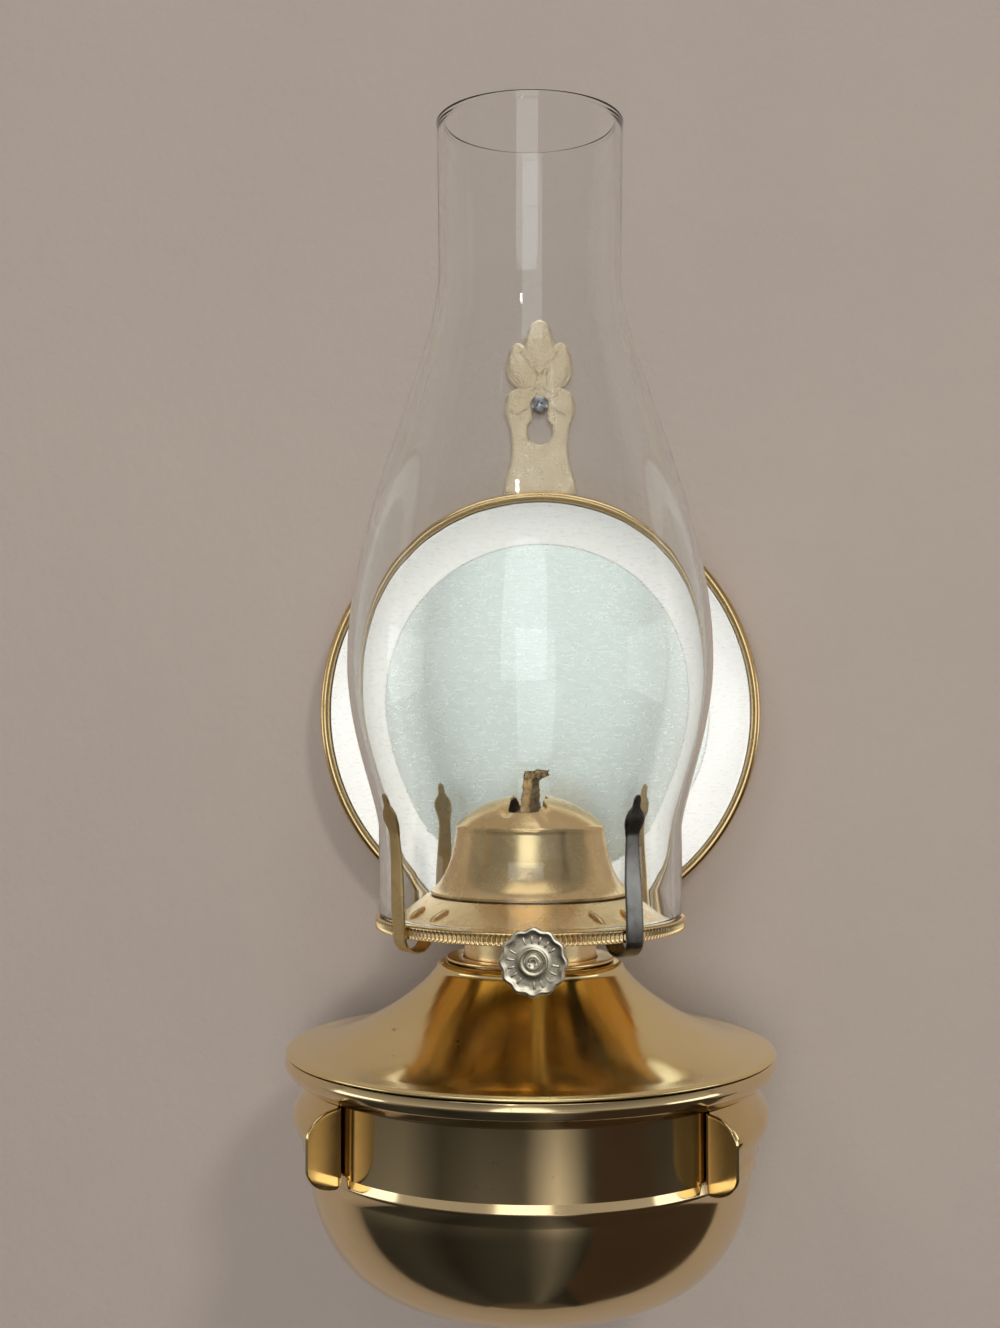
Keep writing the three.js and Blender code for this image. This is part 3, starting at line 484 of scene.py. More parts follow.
def silvered():
    """Silvering, mirror-like on the flat disc. On the flare round it, a painted reflection: a near-white,
    mostly non-metallic colour stands in for the bright ring that reflected light makes there.
    """
    look = Look("silvered_dish")
    split = look.split()
    across = look.math("MULTIPLY", split["X"], split["X"])
    upright = look.math("MULTIPLY", split["Z"], split["Z"])
    radius = look.math("SQRT", look.math("ADD", across, upright), 0)
    flare = look.remap(radius, 0.0478, 0.0483)
    cloud = look.noise(22, detail=4, rough=0.6, warp=0.5)
    haze = look.noise(420, (1, 1, 3), detail=3, rough=0.65)
    lines = look.noise(70, (1, 1, 60), detail=2, rough=0.6)
    scratch = look.noise(300, (0.12, 1, 10), detail=1, rough=0.5, warp=0.6)
    marks = look.math("MULTIPLY", look.remap(scratch, 0.72, 0.8), look.remap(cloud, 0.55, 0.64))
    tone = look.mix(look.remap(cloud, 0.35, 0.7, 0, 0.5), (0.81, 0.86, 0.83), (0.7, 0.76, 0.71))
    tone = look.mix(look.remap(lines, 0.45, 0.8, 0, 0.1), tone, (0.6, 0.64, 0.6))
    # Painted reflection: the flare is painted near-white so that it shows as a bright ring in place of the
    # light it would reflect
    tone = look.mix(flare, tone, (0.97, 0.99, 0.99))
    specks = look.math("MULTIPLY", look.remap(look.spots(260), 0.06, 0.03, 0, 0.6),
                       look.remap(cloud, 0.5, 0.58))
    worn = look.math("ADD", look.remap(lines, 0.3, 0.7, 0.27, 0.29), look.remap(haze, 0.3, 0.7, -0.02, 0.03))
    # The flare's low metallic is part of the same painted reflection, so that its white paint catches the
    # lamps as a broad sheen
    look.set(Metallic=look.remap(flare, 0, 1, 0.8, 0.12),
             Base_Color=look.mix(specks, tone, (0.3, 0.29, 0.25)),
             Roughness=look.math("ADD", worn, look.math("MULTIPLY", marks, 0.15)))
    look.bump(look.noise(26, detail=1), 0.00008)
    look.bump(lines, 0.00000004)
    look.bump(marks, -0.000001)
    return look


def wick_cotton():
    """Woven cotton that is toasted towards its top and burnt at the end."""
    look = Look("wick_cotton")
    cloud = look.noise(300, detail=4, rough=0.7)
    weave_a = look.noise(1700, (1, 1, 0.35), detail=1)
    weave_b = look.noise(1500, (0.4, 0.4, 1), detail=1)
    char_foot = (112.0 - REFLECTOR_H) / 1000
    char_top = (125.5 - REFLECTOR_H) / 1000
    height = look.math("ADD", look.split()["Z"], look.remap(cloud, 0.3, 0.7, -0.0028, 0.0028))
    clean = look.mix(look.remap(weave_a, 0.35, 0.65), (0.5, 0.43, 0.29), (0.34, 0.28, 0.17))
    toasted = look.mix(look.remap(cloud, 0.35, 0.65), (0.42, 0.3, 0.15), (0.2, 0.13, 0.055))
    crust = look.mix(look.remap(cloud, 0.4, 0.6), (0.05, 0.035, 0.017), (0.38, 0.26, 0.11))
    tone = look.mix(look.remap(height, char_foot, char_foot + 0.006), clean, toasted)
    look.set(Roughness=0.95, Base_Color=look.mix(look.remap(height, char_top - 0.006, char_top), tone, crust))
    look.bump(weave_a, 0.0003)
    look.bump(weave_b, 0.0003)
    look.bump(cloud, 0.0006)
    return look


def clear_glass():
    look = Look("clear_glass")
    smear = look.noise(45, (1, 1, 0.4), detail=4, rough=0.6, warp=0.6)
    dust = look.remap(look.spots(300), 0.05, 0.02, 0, 0.06)
    look.set(Base_Color=(0.985, 0.995, 0.99), IOR=1.47, Transmission_Weight=1,
             Roughness=look.math("ADD", look.remap(smear, 0.55, 0.8, 0, 0.012), dust))
    look.bump(look.noise(22, (1, 1, 0.5), detail=1), 0.00035)
    look.bump(look.noise(90, (1, 1, 0.25), detail=1), 0.00004)
    return look


glass = clear_glass()
cotton = wick_cotton()
silver = silvered()


# Tank

def tank_bowl():
    foot = [(0, 1.4), (12, 1.4), (15.5, 0.9), (20, 0.15)]
    turns = [pi / 2 * (1 - step / 40) for step in range(40)]
    belly = [(23.7 + 30.5 * max(cos(t), 0) ** 0.86, 30.6 * (1 - sin(t) ** 1.03)) for t in turns]
    band = rounded([(54.2, 30.6), (55.5, 32.8), (54.8, 35), (54.8, 51.6), (57.6, 52.2), (59.9, 54.2),
                    (60.7, 56.05), (59.9, 57.9)],
                   {1: 1.2, 2: 0.7, 3: 0.7, 4: 1.6, 5: 1.6, 6: 1.6}, closed=False, steps=5)
    solid = lathe(sheet(foot + belly + band, TANK_SHEET), 192)
    dressed("tank_bowl", "font", "bright_brass", bowl_brass, solid, on_lamp)


def tank_shoulder():
    roll = rounded([(60.2, 58.2), (60.2, 58.66), (59.07, 59.24), (56.0, 59.5)], {1: 0.4, 2: 1.2},
                   closed=False, steps=5)
    slope = sweep((56.0, 59.5), (23.3, 78.2), (0.336, 0.086), (0.826, 0.572), 40)
    crown = arc((21.7, 78.2), 1.6, 0, 90, 8)
    line = roll[:-1] + slope + crown[1:] + [(17.8, 79.8)]

    def pressing(radius, height, turns):
        deep = 0.016 * fade(height, 60, 78, 3)
        return deep * (np.cos(34 * turns) + 0.7 * np.cos(53 * turns + 1) + 0.6 * np.cos(21 * turns + 2))

    solid = lathe(sheet(line, TANK_SHEET), 384, pressing)
    dressed("tank_shoulder", "font", "bright_brass", shoulder_brass, solid, on_lamp)


def tank_collar():
    section = rounded([(17.5, 70), (17.5, 80.1), (20.8, 80.1), (20.8, 80.9), (16.7, 80.9), (16.7, 70)],
                      {0: 0.3, 2: 0.3, 3: 0.35, 4: 0.4, 5: 0.3})
    section = denser(section, 39, lambda a, b: abs(b[1] - a[1]) > 4)
    solid = lathe(section, 96, thread(70.8, 79.6, 0.11))
    dressed("tank_collar", "font", "bright_brass", burner_brass, solid, on_lamp, 50)


tank_bowl()
tank_shoulder()
tank_collar()


# Burner

def stadium(width, length, steps=16):
    """A ring of (x, y) round a rectangle with round ends, its long side along y."""
    radius, end = width / 2, (length - width) / 2
    turns = np.linspace(0, pi, steps + 1)
    top = [(radius * cos(t), end + radius * sin(t)) for t in turns]
    return top + [(-x, -y) for x, y in top]


def circle(radius, steps=32):
    return [(radius * cos(t), radius * sin(t)) for t in turns_round(steps)]


def column(name, ring, start, end, where=on_burner):
    return cutter(name, [[(x, y, h) for x, y in ring] for h in (start, end)], where)


BURNER = ("burner", "bright_brass", burner_brass)
UNDER_BURNER = ("burner", "bright_brass", dark_brass)
RAISER = ("wheel", "nickel", nickel)


def burner_base():
    section = rounded([(0, 70), (16.4, 70), (16.4, 89.8), (20.4, 89.8), (20.4, 90.4), (15.8, 90.4),
                       (15.8, 70.6), (0, 70.6)], {1: 0.9, 2: 0.5, 3: 0.25, 4: 0.25, 5: 0.9, 6: 0.5})
    section = denser(section, 69, lambda a, b: abs(b[1] - a[1]) > 8)
    solid = lathe(section, 96, thread(71.2, 80, 0.13, 15))
    cutters = [column("cut_tube", stadium(5.2, 27.2), 66, 73),
               column("cut_vent", [(x - 9.6, y) for x, y in circle(1.8)], 66, 73),
               column("cut_shaft_front", circle(2.7), 10, 24, on_shaft),
               column("cut_shaft_back", circle(1.75), -24, -10, on_shaft)]
    dressed("burner_base", *BURNER, solid, on_burner, 50, cutters)


def air_basket():
    section = rounded([(17.3, 91.3), (17.3, 90.7), (20.8, 90.7), (23.0, 94.9), (24.6, 94.9), (24.6, 95.5),
                       (22.6, 95.5), (20.4, 91.3)],
                      {0: 0.25, 1: 0.25, 2: 0.6, 3: 0.5, 4: 0.25, 5: 0.25, 6: 0.6, 7: 0.5})
    holes, hole_radius, hole_h = 12, 1.25, 93.1
    hole = [[(r, y, hole_h + z) for y, z in circle(hole_radius, 20)] for r in (19.0, 24.5)]
    cutters = [cutter(f"cut_air_{k}", hole, round_burner(2 * pi * (k + 0.5) / holes)) for k in range(holes)]
    dressed("air_basket", *UNDER_BURNER, lathe(section, 144), on_burner, cutters=cutters)


PRONG_TURNS = [radians(45 + 90 * k) for k in range(4)]
DECK_EDGE, DECK_H = 35.6, 91.1
DECK_SLOPE = atan2(96.4 - DECK_H, DECK_EDGE - 25.3)


def deck_height(radius):
    return DECK_H + (DECK_EDGE - radius) * tan(DECK_SLOPE)


def gallery():
    top = rounded([(38.4, 88.1), (38.4, DECK_H), (DECK_EDGE, DECK_H), (25.3, 96.4), (22.3, 96.4)],
                  {1: 0.55, 2: 1.0, 3: 0.8}, closed=False, steps=6)
    section = denser(sheet(top, THIN_SHEET), 6, lambda a, b: dist(a, b) > 1.2 and a[0] > 37)

    reeds, reed_depth = 200, 0.42

    def reeding(radius, height, turns):
        deep = reed_depth * fade(height, 88.3, 90.75, 0.3) * (radius >= 38.25)
        return -deep * (0.5 + 0.5 * np.cos(reeds * turns))

    dressed("gallery", *BURNER, lathe(section, 1200, reeding), on_burner, 48)


def gallery_nibs():
    """A pair of raised nibs on the deck beside each prong."""
    middle, half_length, half_width, rise, to_prong = 30.8, 2.7, 0.75, 0.95, radians(8.5)
    for k, prong_turn in enumerate(PRONG_TURNS):
        for side, letter in ((-1, "a"), (1, "b")):
            rings = []
            for share in np.linspace(-1, 1, 13):
                swell = max(1 - abs(share) ** 3.2, 0.02)
                width, height = half_width * sqrt(swell), rise * swell
                radius = middle + share * half_length * cos(DECK_SLOPE)
                rings.append([(radius, width * cos(t) - 0.7 * side * share,
                               deck_height(radius) + (height + 0.2) / 2 * sin(t) + (height - 0.2) / 2)
                              for t in turns_round(14)])
            piece(f"gallery_nib_{k}_{letter}", *BURNER, loops(rings),
                  round_burner(prong_turn + side * to_prong), 60)


def burner_dome():
    skirt = sweep((24.8, 97.3), (18.4, 113.3), (0.62, 0.14), (0.9, 0.53), 30)
    crease = [(18.62, 112.9), (18.5, 113.35), (18.0, 113.75)]
    cap = sweep((18.4, 113.3), (0, 121.0), (0.22, 0.56), (0.54, 0.99), 26)
    line = [(24.8, 96.7)] + skirt[:-1] + crease + cap[2:-1] + [(0, 121.0)]
    slot = column("cut_slot", stadium(8.2, 28), 108, 124)
    obj = dressed("burner_dome", *BURNER, lathe(sheet(line, THIN_SHEET), 160), on_burner, cutters=[slot])

    # The cap is dented beside the front end of the slot, and the slot's edges are wavy
    c, s = cos(-BURNER_TURN), sin(-BURNER_TURN)
    for vertex in obj.data.vertices:
        if vertex.co.z * 1000 + REFLECTOR_H < 111:
            continue
        x, y = vertex.co.x * 1000, vertex.co.y * 1000 + AXIS_REACH
        x, y = c * x - s * y, s * x + c * y
        from_edge = abs(x) - 4.1
        near = exp(-(from_edge / 1.6) ** 2) * exp(-((y + 11.5) / 3.2) ** 2)
        push = 0.9 if x < 0 else 0.45
        vertex.co.z -= 0.001 * push * near
        vertex.co.z += 0.001 * (0.16 * sin(y * 1.3 + x) * exp(-(from_edge / 1.2) ** 2))


def wick_tube():
    stations = ((4.6, 26.6, 64), (4.6, 26.6, 72), (4.6, 26.6, 100), (4.6, 26.6, 116.9), (4.4, 26.4, 117.2),
                (3.8, 25.8, 117.2), (3.6, 25.6, 116.9), (3.6, 25.6, 80), (3.6, 25.6, 64))
    rings = [[(x, y, h) for x, y in stadium(width, length, 20)] for width, length, h in stations]
    dressed("wick_tube", *UNDER_BURNER, loops(rings, closed=True), on_burner)


def shaft_sleeve():
    section = rounded([(1.7, 12.9), (2.4, 12.9), (2.4, 33), (1.7, 33)], {0: 0.1, 1: 0.2, 2: 0.3, 3: 0.15})
    dressed("shaft_sleeve", *UNDER_BURNER, lathe(section, 40), on_shaft)


burner_base()
air_basket()
gallery()
gallery_nibs()
burner_dome()
wick_tube()
shaft_sleeve()


# Wick raiser

def wick_shaft():
    section = rounded([(0, -17), (1.4, -17), (1.4, 47.5), (1.9, 47.5), (1.9, 48), (1.1, 48.0), (0.7, 47.6),
                       (0, 47.55)], {1: 0.4, 3: 0.2, 4: 0.25, 5: 0.2, 6: 0.2})
    dressed("wick_shaft", *RAISER, lathe(section, 36), on_shaft)


def spur_wheel(index):
    teeth, bore = 9, 1.7
    turns = turns_round(8 * teeth)
    edge = 2.8 + 1.55 * (0.5 + 0.5 * np.cos(teeth * turns)) ** 1.6
    middle = (index - 1.5) * 5.4
    outline = [(edge - 0.12, -0.5), (edge, -0.38), (edge, 0.38), (edge - 0.12, 0.5), (bore, 0.5),
               (bore, -0.5)]
    rings = [ring_at(radius, turns, middle + reach) for radius, reach in outline]
    dressed(f"spur_wheel_{index + 1}", *RAISER, loops(rings, closed=True), on_shaft)


WHEEL_FRONT = 47.2


def thumbwheel():
    scallops = 12
    turns = turns_round(20 * scallops)
    edge = 7.8 - 0.5 * (1 - np.cos(scallops * turns)) / 2
    # From the bore's back round the scalloped edge and over the face, as (radius, depth)
    outline = [(1.7, 1.8), (edge - 0.35, 1.8), (edge - 0.08, 1.7), (edge, 1.45), (edge, 0.4),
               (edge - 0.12, 0.12), (edge - 0.45, 0), (edge - 0.8, 0.02), (edge - 1.15, 0.14),
               (6.0, 0.2), (5.2, 0.2), (4.4, 0.2), (3.6, 0.2), (3.3, 0.12), (3.1, 0), (2.95, 0),
               (2.85, 0.15), (2.8, 0.55), (2.35, 0.6), (2.25, 0.5), (2.2, 0.1), (2.1, 0), (1.8, 0),
               (1.7, 0.1)]
    rings = [ring_at(radius, turns, WHEEL_FRONT - depth) for radius, depth in outline]
    dressed("thumbwheel", *RAISER, loops(rings, closed=True), on_shaft, 42)


def thumbwheel_ticks():
    """Plain pressed ticks in place of the lettering, with a gap after every fifth."""
    points, faces = [], []
    places, half_width = 18, radians(3.4)
    for k in range(places):
        if k % 6 == 5:
            continue
        turn = 2 * pi * (k + 0.5) / places + 0.4
        rings = []
        for radius, height in ((4.05, 0.0), (4.2, 0.3), (5.0, 0.36), (5.8, 0.3), (5.95, 0.0)):
            ring = []
            for a, lift in ((-1, -0.05), (-0.7, 1), (0, 1.15), (0.7, 1), (1, -0.05)):
                t = turn + a * half_width
                ring.append((radius * cos(t), radius * sin(t),
                             WHEEL_FRONT - 0.2 + lift * height - 0.02))
            rings.append(ring)
        tick, tick_faces = loops(rings)
        faces += [tuple(v + len(points) * len(tick) for v in face) for face in tick_faces]
        points.append(tick)
    piece("thumbwheel_ticks", *RAISER, (np.concatenate(points), faces), on_shaft, 50)


wick_shaft()
for wheel_index in range(4):
    spur_wheel(wheel_index)
thumbwheel()
thumbwheel_ticks()


# Chimney

BELLY = sweep((37.6, GLASS_FOOT + 21.6), (45.6, GLASS_FOOT + 62.6), (0.163, 0.232), (1, 0.561), 36)
NECK = sweep((45.6, GLASS_FOOT + 62.6), (23.1, GLASS_FOOT + 160.6), (0, 0.401), (1, 0.762), 48)
GLASS_LINE = [(37.6, GLASS_FOOT), (37.6, GLASS_FOOT + 8), (37.6, GLASS_FOOT + 15)] + BELLY + NECK[1:] + [
    (23.25, GLASS_FOOT + 180), (23.5, GLASS_FOOT + GLASS_RISE)]


def glass_radius(height):
    return float(np.interp(height, [p[1] for p in GLASS_LINE], [p[0] for p in GLASS_LINE]))


def chimney():
    section = sheet(GLASS_LINE, GLASS_SHEET, soft=0.46)
    rim = GLASS_FOOT + GLASS_RISE

    # More points just below the rim, outside and inside, let it thicken into a bead
    top = [k for k, (r, h) in enumerate(section) if h > rim - 1.5]
    before, after = section[:top[0]], section[top[-1] + 1:]
    edge = section[top[0]:top[-1] + 1]
    low_out, = along(before[-1], edge[0], [0.82])
    low_in, = along(after[0], edge[-1], [0.82])
    shares = np.linspace(0, 1, 7)[1:-1]
    section = (before + [low_out] + along(low_out, edge[0], shares) + edge
               + along(edge[-1], low_in, shares) + [low_in] + after)

    section = [(r + 0.32 * max(0, 1 - (rim - h) / 2.4) ** 2 * (1 if r > 22.7 else -1), h) for r, h in section]

    def wave(radius, height, turns):
        up = (height - GLASS_FOOT) / 199
        return 0.12 * sin(up * 17) * np.cos(2 * turns + 4 * up) * min(up * 6, 1) * min((1 - up) * 8, 1)

    obj = dressed("chimney", "chimney", "glass", glass, lathe(section, 192, wave), on_burner, 60)
    obj.visible_shadow = False


chimney()


# Prongs

def smooth(value, low, high):
    t = max(0.0, min(1.0, (value - low) / (high - low)))
    return t * t * (3 - 2 * t)


def prong(index, name, lean_degrees, slot, look):
    def under_deck(radius):
        return radius, deck_height(radius) - 0.9 / cos(DECK_SLOPE)

    legs, inner, thickness, half_width = 38.7, 31.8, 0.5, 2.6
    low, high = 91.1, 122.2
    bend = (legs - inner) / 2
    centre = (legs - bend, 84.4 + thickness + bend)
    below = rounded([under_deck(28.2), under_deck(inner), (inner, centre[1])], {1: 1.0}, closed=False)
    line = below[:-1] + arc(centre, bend, 180, 360, 20)
    halves = [half_width] * len(line)
    # Widths as shares of the leg's, by the share of the way up
    shares = [0, 0.2, 0.35, 0.56, 0.68, 0.735, 0.77, 0.81, 0.85, 0.885, 0.905, 0.93, 0.96, 0.985, 1]
    sizes = [1, 0.98, 0.96, 0.8, 0.75, 0.88, 1.04, 1.12, 1.02, 0.74, 0.46, 0.4, 0.4, 0.31, 0.1]
    for up in np.linspace(0, 1, 61):
        height = low + (high - low) * up
        drawn = (legs - 37.6 - 0.3) * (1 - smooth(up, 0, 0.56))
        lean = (height - centre[1]) * tan(radians(lean_degrees))
        bulge = 0.22 * exp(-((up - 0.81) / 0.06) ** 2)
        line.append((glass_radius(height) + 0.3 + drawn + lean + bulge, height))
        halves.append(half_width * float(np.interp(up, shares, sizes)))
    across = np.array([-1, -0.97, -0.88, -0.6, -0.3, 0, 0.3, 0.6, 0.88, 0.97, 1])
    soft = np.where(np.abs(across) > 0.9, (np.abs(across) - 0.9) / 0.1, 0) ** 2 * 0.22
    solid = strip(line, offset(line, -thickness), halves, across, soft)
    dressed(name, "burner", slot, look, solid, round_burner(PRONG_TURNS[index]), 50)


prong(0, "prong_rear_right", 0, "prong_brass", prong_brass)
prong(1, "prong_rear_left", 0, "prong_brass", prong_brass)
prong(2, "prong_front_left", 5.5, "prong_brass", prong_brass)
prong(3, "prong_front_right", 0, "blued_steel", blue_steel)


# Wick

def wick():
    """A stem that fits the tube, and above it a ragged end with a small burnt head."""
    tip_foot, tip_rise = 116.5, 9.7
    rng = np.random.default_rng(11)
    rings = []
    for h in np.concatenate([np.linspace(12, 112, 40), np.linspace(113, 126.2, 46)]):
        up = max(0, (h - tip_foot) / tip_rise)
        width = 2.9 - 0.7 * smooth(up, 0, 0.2) + 2.1 * smooth(up, 0.84, 0.95) - 0.5 * smooth(up, 0.96, 1)
        width += 0.15 * sin(h * 2.3) * min(up * 3, 1)
        length = 25 - 10 * smooth(up, 0.05, 1)
        lean = 0.25 * smooth(up, 0.1, 0.6) + 1.4 * smooth(up, 0.82, 1)
        ring = np.array([(x + lean, y, h) for x, y in stadium(width, max(length, width + 1), 28)])
        if up > 0:
            rough = 0.08 + 0.07 * smooth(up, 0, 0.7) + 0.5 * smooth(up, 0.84, 0.95)
            jitter = rng.normal(0, 1, (len(ring), 3))
            jitter = (jitter + np.roll(jitter, 1, 0)) / 2
            ring += jitter * [rough, rough, rough * 0.35]
            ring[:, 2] += up * (0.5 * np.sin(ring[:, 1] * 1.7) + 0.35 * np.sin(ring[:, 1] * 4.1 + 1))
        else:
            ring[:, 0] += 0.09 * np.sign(ring[:, 0]) * np.sin(ring[:, 1] * 4.4) * cos(h * 2.6)
        rings.append(ring)
    top = rings[-1].mean(0)
    for share in (0.7, 0.4, 0.15):
        ring = top + (rings[-1] - top) * [share, 0.97, 1] + [0, 0, 0.12]
        rings.append(ring + rng.normal(0, 0.2, ring.shape))
    points, faces = loops(rings)
    points[:, 2] = np.minimum(points[:, 2], 126.95)
    dressed("wick", "wick", "cotton", cotton, (points, faces), on_burner, 80)


wick()


# Reflector

def hollow(start, end):
    """The flare's line from start to end, which turns left by twice 14 degrees."""
    a = np.array(start, float)
    chord = np.array(end, float) - a
    side = np.array([chord[1], -chord[0]])
    t = np.linspace(0, 1, 15)[:, None]
    sag = tan(radians(14) / 2) / 2
    return [tuple(p) for p in a + chord * t + side * sag * 4 * t * (1 - t)]


def reflector():
    curl = arc((60.3, 13.8), 1.3, -52, 175, 28)
    line = [(0, 1.5), (24, 1.5)] + hollow((47.4, 1.5), curl[0])[:-1] + curl
    dressed("reflector_frame", "bracket", "bright_brass", frame_brass,
            lathe(sheet(line, THIN_SHEET), 224), outward)
    line = [(0, 3.3), (24, 3.3)] + hollow((48.0, 3.3), (59.0, 12.5))
    dressed("reflector_dish", "bracket", "silvered", silver, lathe(sheet(line, THIN_SHEET), 224), outward, 18)


def rivet(name, x, z, section, rounds):
    """A rivet at x, z, with its section in (radius, reach from the wall)."""
    solid = lathe(rounded(section, rounds), 40)
    dressed(name, "bracket", "strap_brass", strap_brass, solid, outward_at(x, z))


reflector()
for rivet_name, rivet_z in (("reflector_rivet_upper", 20), ("reflector_rivet_lower", -20)):
    rivet(rivet_name, 0, rivet_z,
          [(0, 0.1), (2.4, 0.1), (1.5, 1.0), (1.5, 2.4), (2.6, 2.4), (2.3, 2.9), (1.2, 3.0), (0, 3.0)],
          {1: 0.15, 4: 0.2, 5: 0.3, 6: 0.4})
for rivet_name, rivet_x in (("clip_rivet_left", -5), ("clip_rivet_right", 5)):
    rivet(rivet_name, rivet_x, -98.3,
          [(0, 2.5), (1.3, 2.5), (2.3, 2.7), (2.6, 3.1), (1.5, 3.1), (1.5, 7.0), (2.0, 7.0), (1.8, 7.5),
           (1.0, 7.6), (0, 7.6)], {1: 0.4, 2: 0.2, 6: 0.15, 7: 0.2})


# Strap

ORNAMENT_FOOT, ORNAMENT_RISE = 62.9, 50.0
# The ornament's right edge from its tip down, in shares of its half width and rise
PETALS = [
    [(0, 1), (0.25, 0.972), (0.42, 0.886), (0.45, 0.85)],
    [(0.45, 0.85), (0.6, 0.868), (0.78, 0.85), (0.91, 0.79), (0.945, 0.72), (0.86, 0.65), (0.64, 0.605)],
    [(0.64, 0.605), (0.9, 0.575), (1, 0.5), (0.93, 0.44), (0.81, 0.375)],
    [(0.81, 0.375), (0.77, 0.27), (0.83, 0.165), (0.95, 0.08), (1, 0)],
]


def spline(points, steps):
    """A Catmull-Rom line through the points."""
    p = np.array(points, float)
    p = np.vstack([p[0], p, p[-1]])
    out = []
    for a, b, c, d in zip(p, p[1:], p[2:], p[3:]):
        for t in np.linspace(0, 1, steps, endpoint=False):
            out.append(0.5 * (2 * b + (c - a) * t + (2 * a - 5 * b + 4 * c - d) * t * t
                              + (3 * b - a - 3 * c + d) * t ** 3))
    return np.array(out)


def distance_to(points, line, closed=False):
    """The distance of each point from a line, both in two dimensions."""
    best = np.full(len(points), 1e9)
    if closed:
        line = np.vstack([line, line[:1]])
    for a, b in zip(line, line[1:]):
        d = b - a
        length = float(d @ d) or 1e-12
        t = np.clip(((points - a) @ d) / length, 0, 1)
        best = np.minimum(best, np.linalg.norm(points - (a + t[:, None] * d), axis=1))
    return best


def inside(point, ring):
    x, y = point
    hit = False
    for (ax, ay), (bx, by) in zip(ring, np.roll(ring, -1, 0)):
        if (ay > y) != (by > y) and x < (bx - ax) * (y - ay) / (by - ay) + ax:
            hit = not hit
    return hit


def ornament_relief(points):
    """How far the front stands over the plate's flat ground, in millimetres."""
    folded = np.stack([np.abs(points[:, 0]), points[:, 1] - ORNAMENT_FOOT], 1)
    x, z = folded[:, 0], folded[:, 1]

    def leaf(cx, cz, wide, tall, tilt, rise):
        c, s = cos(radians(tilt)), sin(radians(tilt))
        a, b = c * (x - cx) + s * (z - cz), -s * (x - cx) + c * (z - cz)
        return rise * np.sqrt(np.clip(1 - (a / wide) ** 2 - (b / tall) ** 2, 0, 1))

    height = np.maximum(leaf(5.9, 36.2, 3.6, 6.6, -24, 0.5), leaf(7.2, 25.9, 3.4, 3.0, -30, 0.35))
    height = np.maximum(height, leaf(0, 43.5, 4.4, 6.8, 0, 0.4))
    for rise, width, points_along in (
            (0.34, 0.6, [(0, 34.4), (1.3, 36.0), (3.4, 38.6), (6.2, 42.3)]),
            (0.3, 0.55, [(0, 34.4), (0, 32.2), (0, 30.0)]),
            (0.26, 0.5, [(0.9, 33.4), (1.5, 30.6), (3.6, 29.2), (6.2, 29.6)]),
            (0.22, 0.5, [(2.9, 26.4), (4.6, 24.4), (7.2, 23.0), (9.9, 21.6)]),
            (-0.16, 0.45, [(1.7, 34.8), (3.7, 37.0), (6.9, 41.0)])):
        height += rise * np.exp(-(distance_to(folded, spline(points_along, 8)) / width) ** 2)
    return 0.68 * np.clip(height, -0.15, 0.75) * np.clip((z - 20.5) / 1.5, 0, 1)


def strap_ornament():
    """The strap's shaped head with its keyhole. Its front is a dense net with real relief."""
    side = np.concatenate([spline(petal, 10) for petal in PETALS])
    side = side * [HALF_STRAP, ORNAMENT_RISE] + [0, ORNAMENT_FOOT]
    side = np.vstack([side, [HALF_STRAP, ORNAMENT_FOOT]])
    outline = np.vstack([side, (side[1:] * [-1, 1])[::-1]])
    neck = degrees(asin(2.3 / 3.85))
    keyhole = np.array(arc((0, 80.8), 3.85, 90 + neck, 450 - neck, 44) + arc((0, 88.5), 2.3, 0, 180, 18))

    pitch = 0.45
    xs = np.arange(-10.8, 10.81, pitch)
    zs = np.arange(ORNAMENT_FOOT + 0.2, ORNAMENT_FOOT + ORNAMENT_RISE, pitch)
    inner = np.array([(x + (0.5 * pitch if k % 2 else 0), z) for k, z in enumerate(zs) for x in xs])
    rim, hole = distance_to(inner, outline, True), distance_to(inner, keyhole, True)
    flat = np.vstack([outline, keyhole, inner[(rim > 0.22) & (hole > 0.22)]])
    edges = [(start + i, start + (i + 1) % len(ring))
             for start, ring in ((0, outline), (len(outline), keyhole)) for i in range(len(ring))]
    found = delaunay_2d_cdt([Vector(p) for p in flat], edges, [], 2, 1e-5)
    net = np.array([tuple(p) for p in found[0]])
    middles = [net[list(t)].mean(0) for t in found[2]]
    triangles = [tuple(t) for t, p in zip(found[2], middles) if inside(p, outline) and not inside(p, keyhole)]

    # Edges are soft, but not where the ornament meets the length of the strap
    from_edge = np.minimum(distance_to(net, outline, True), distance_to(net, keyhole, True))
    soft = np.clip(from_edge / 0.45, 0, 1)
    soft[(net[:, 1] < ORNAMENT_FOOT + 0.4) & (np.abs(net[:, 0]) < HALF_STRAP - 0.4)] = 1
    relief = ornament_relief(net) * np.clip((from_edge - 0.15) / 0.5, 0, 1)
    front = STRAP_SHEET - 0.16 * (1 - soft) ** 2 + relief
    top = np.stack([net[:, 0], -front, net[:, 1]], 1)
    bottom = np.stack([net[:, 0], 0 * front, net[:, 1]], 1)
    count = len(net)
    faces = triangles + [tuple(v + count for v in t[::-1]) for t in triangles]
    sides = [(a, b) for t in triangles for a, b in zip(t, t[1:] + t[:1])]
    shared = set(sides)
    faces += [(b, a, a + count, b + count) for a, b in sides if (b, a) not in shared]
    piece("strap_ornament", "bracket", "strap_brass", ornament_brass, (np.vstack([top, bottom]), faces),
          angle=55, nodes=("back_strap",))


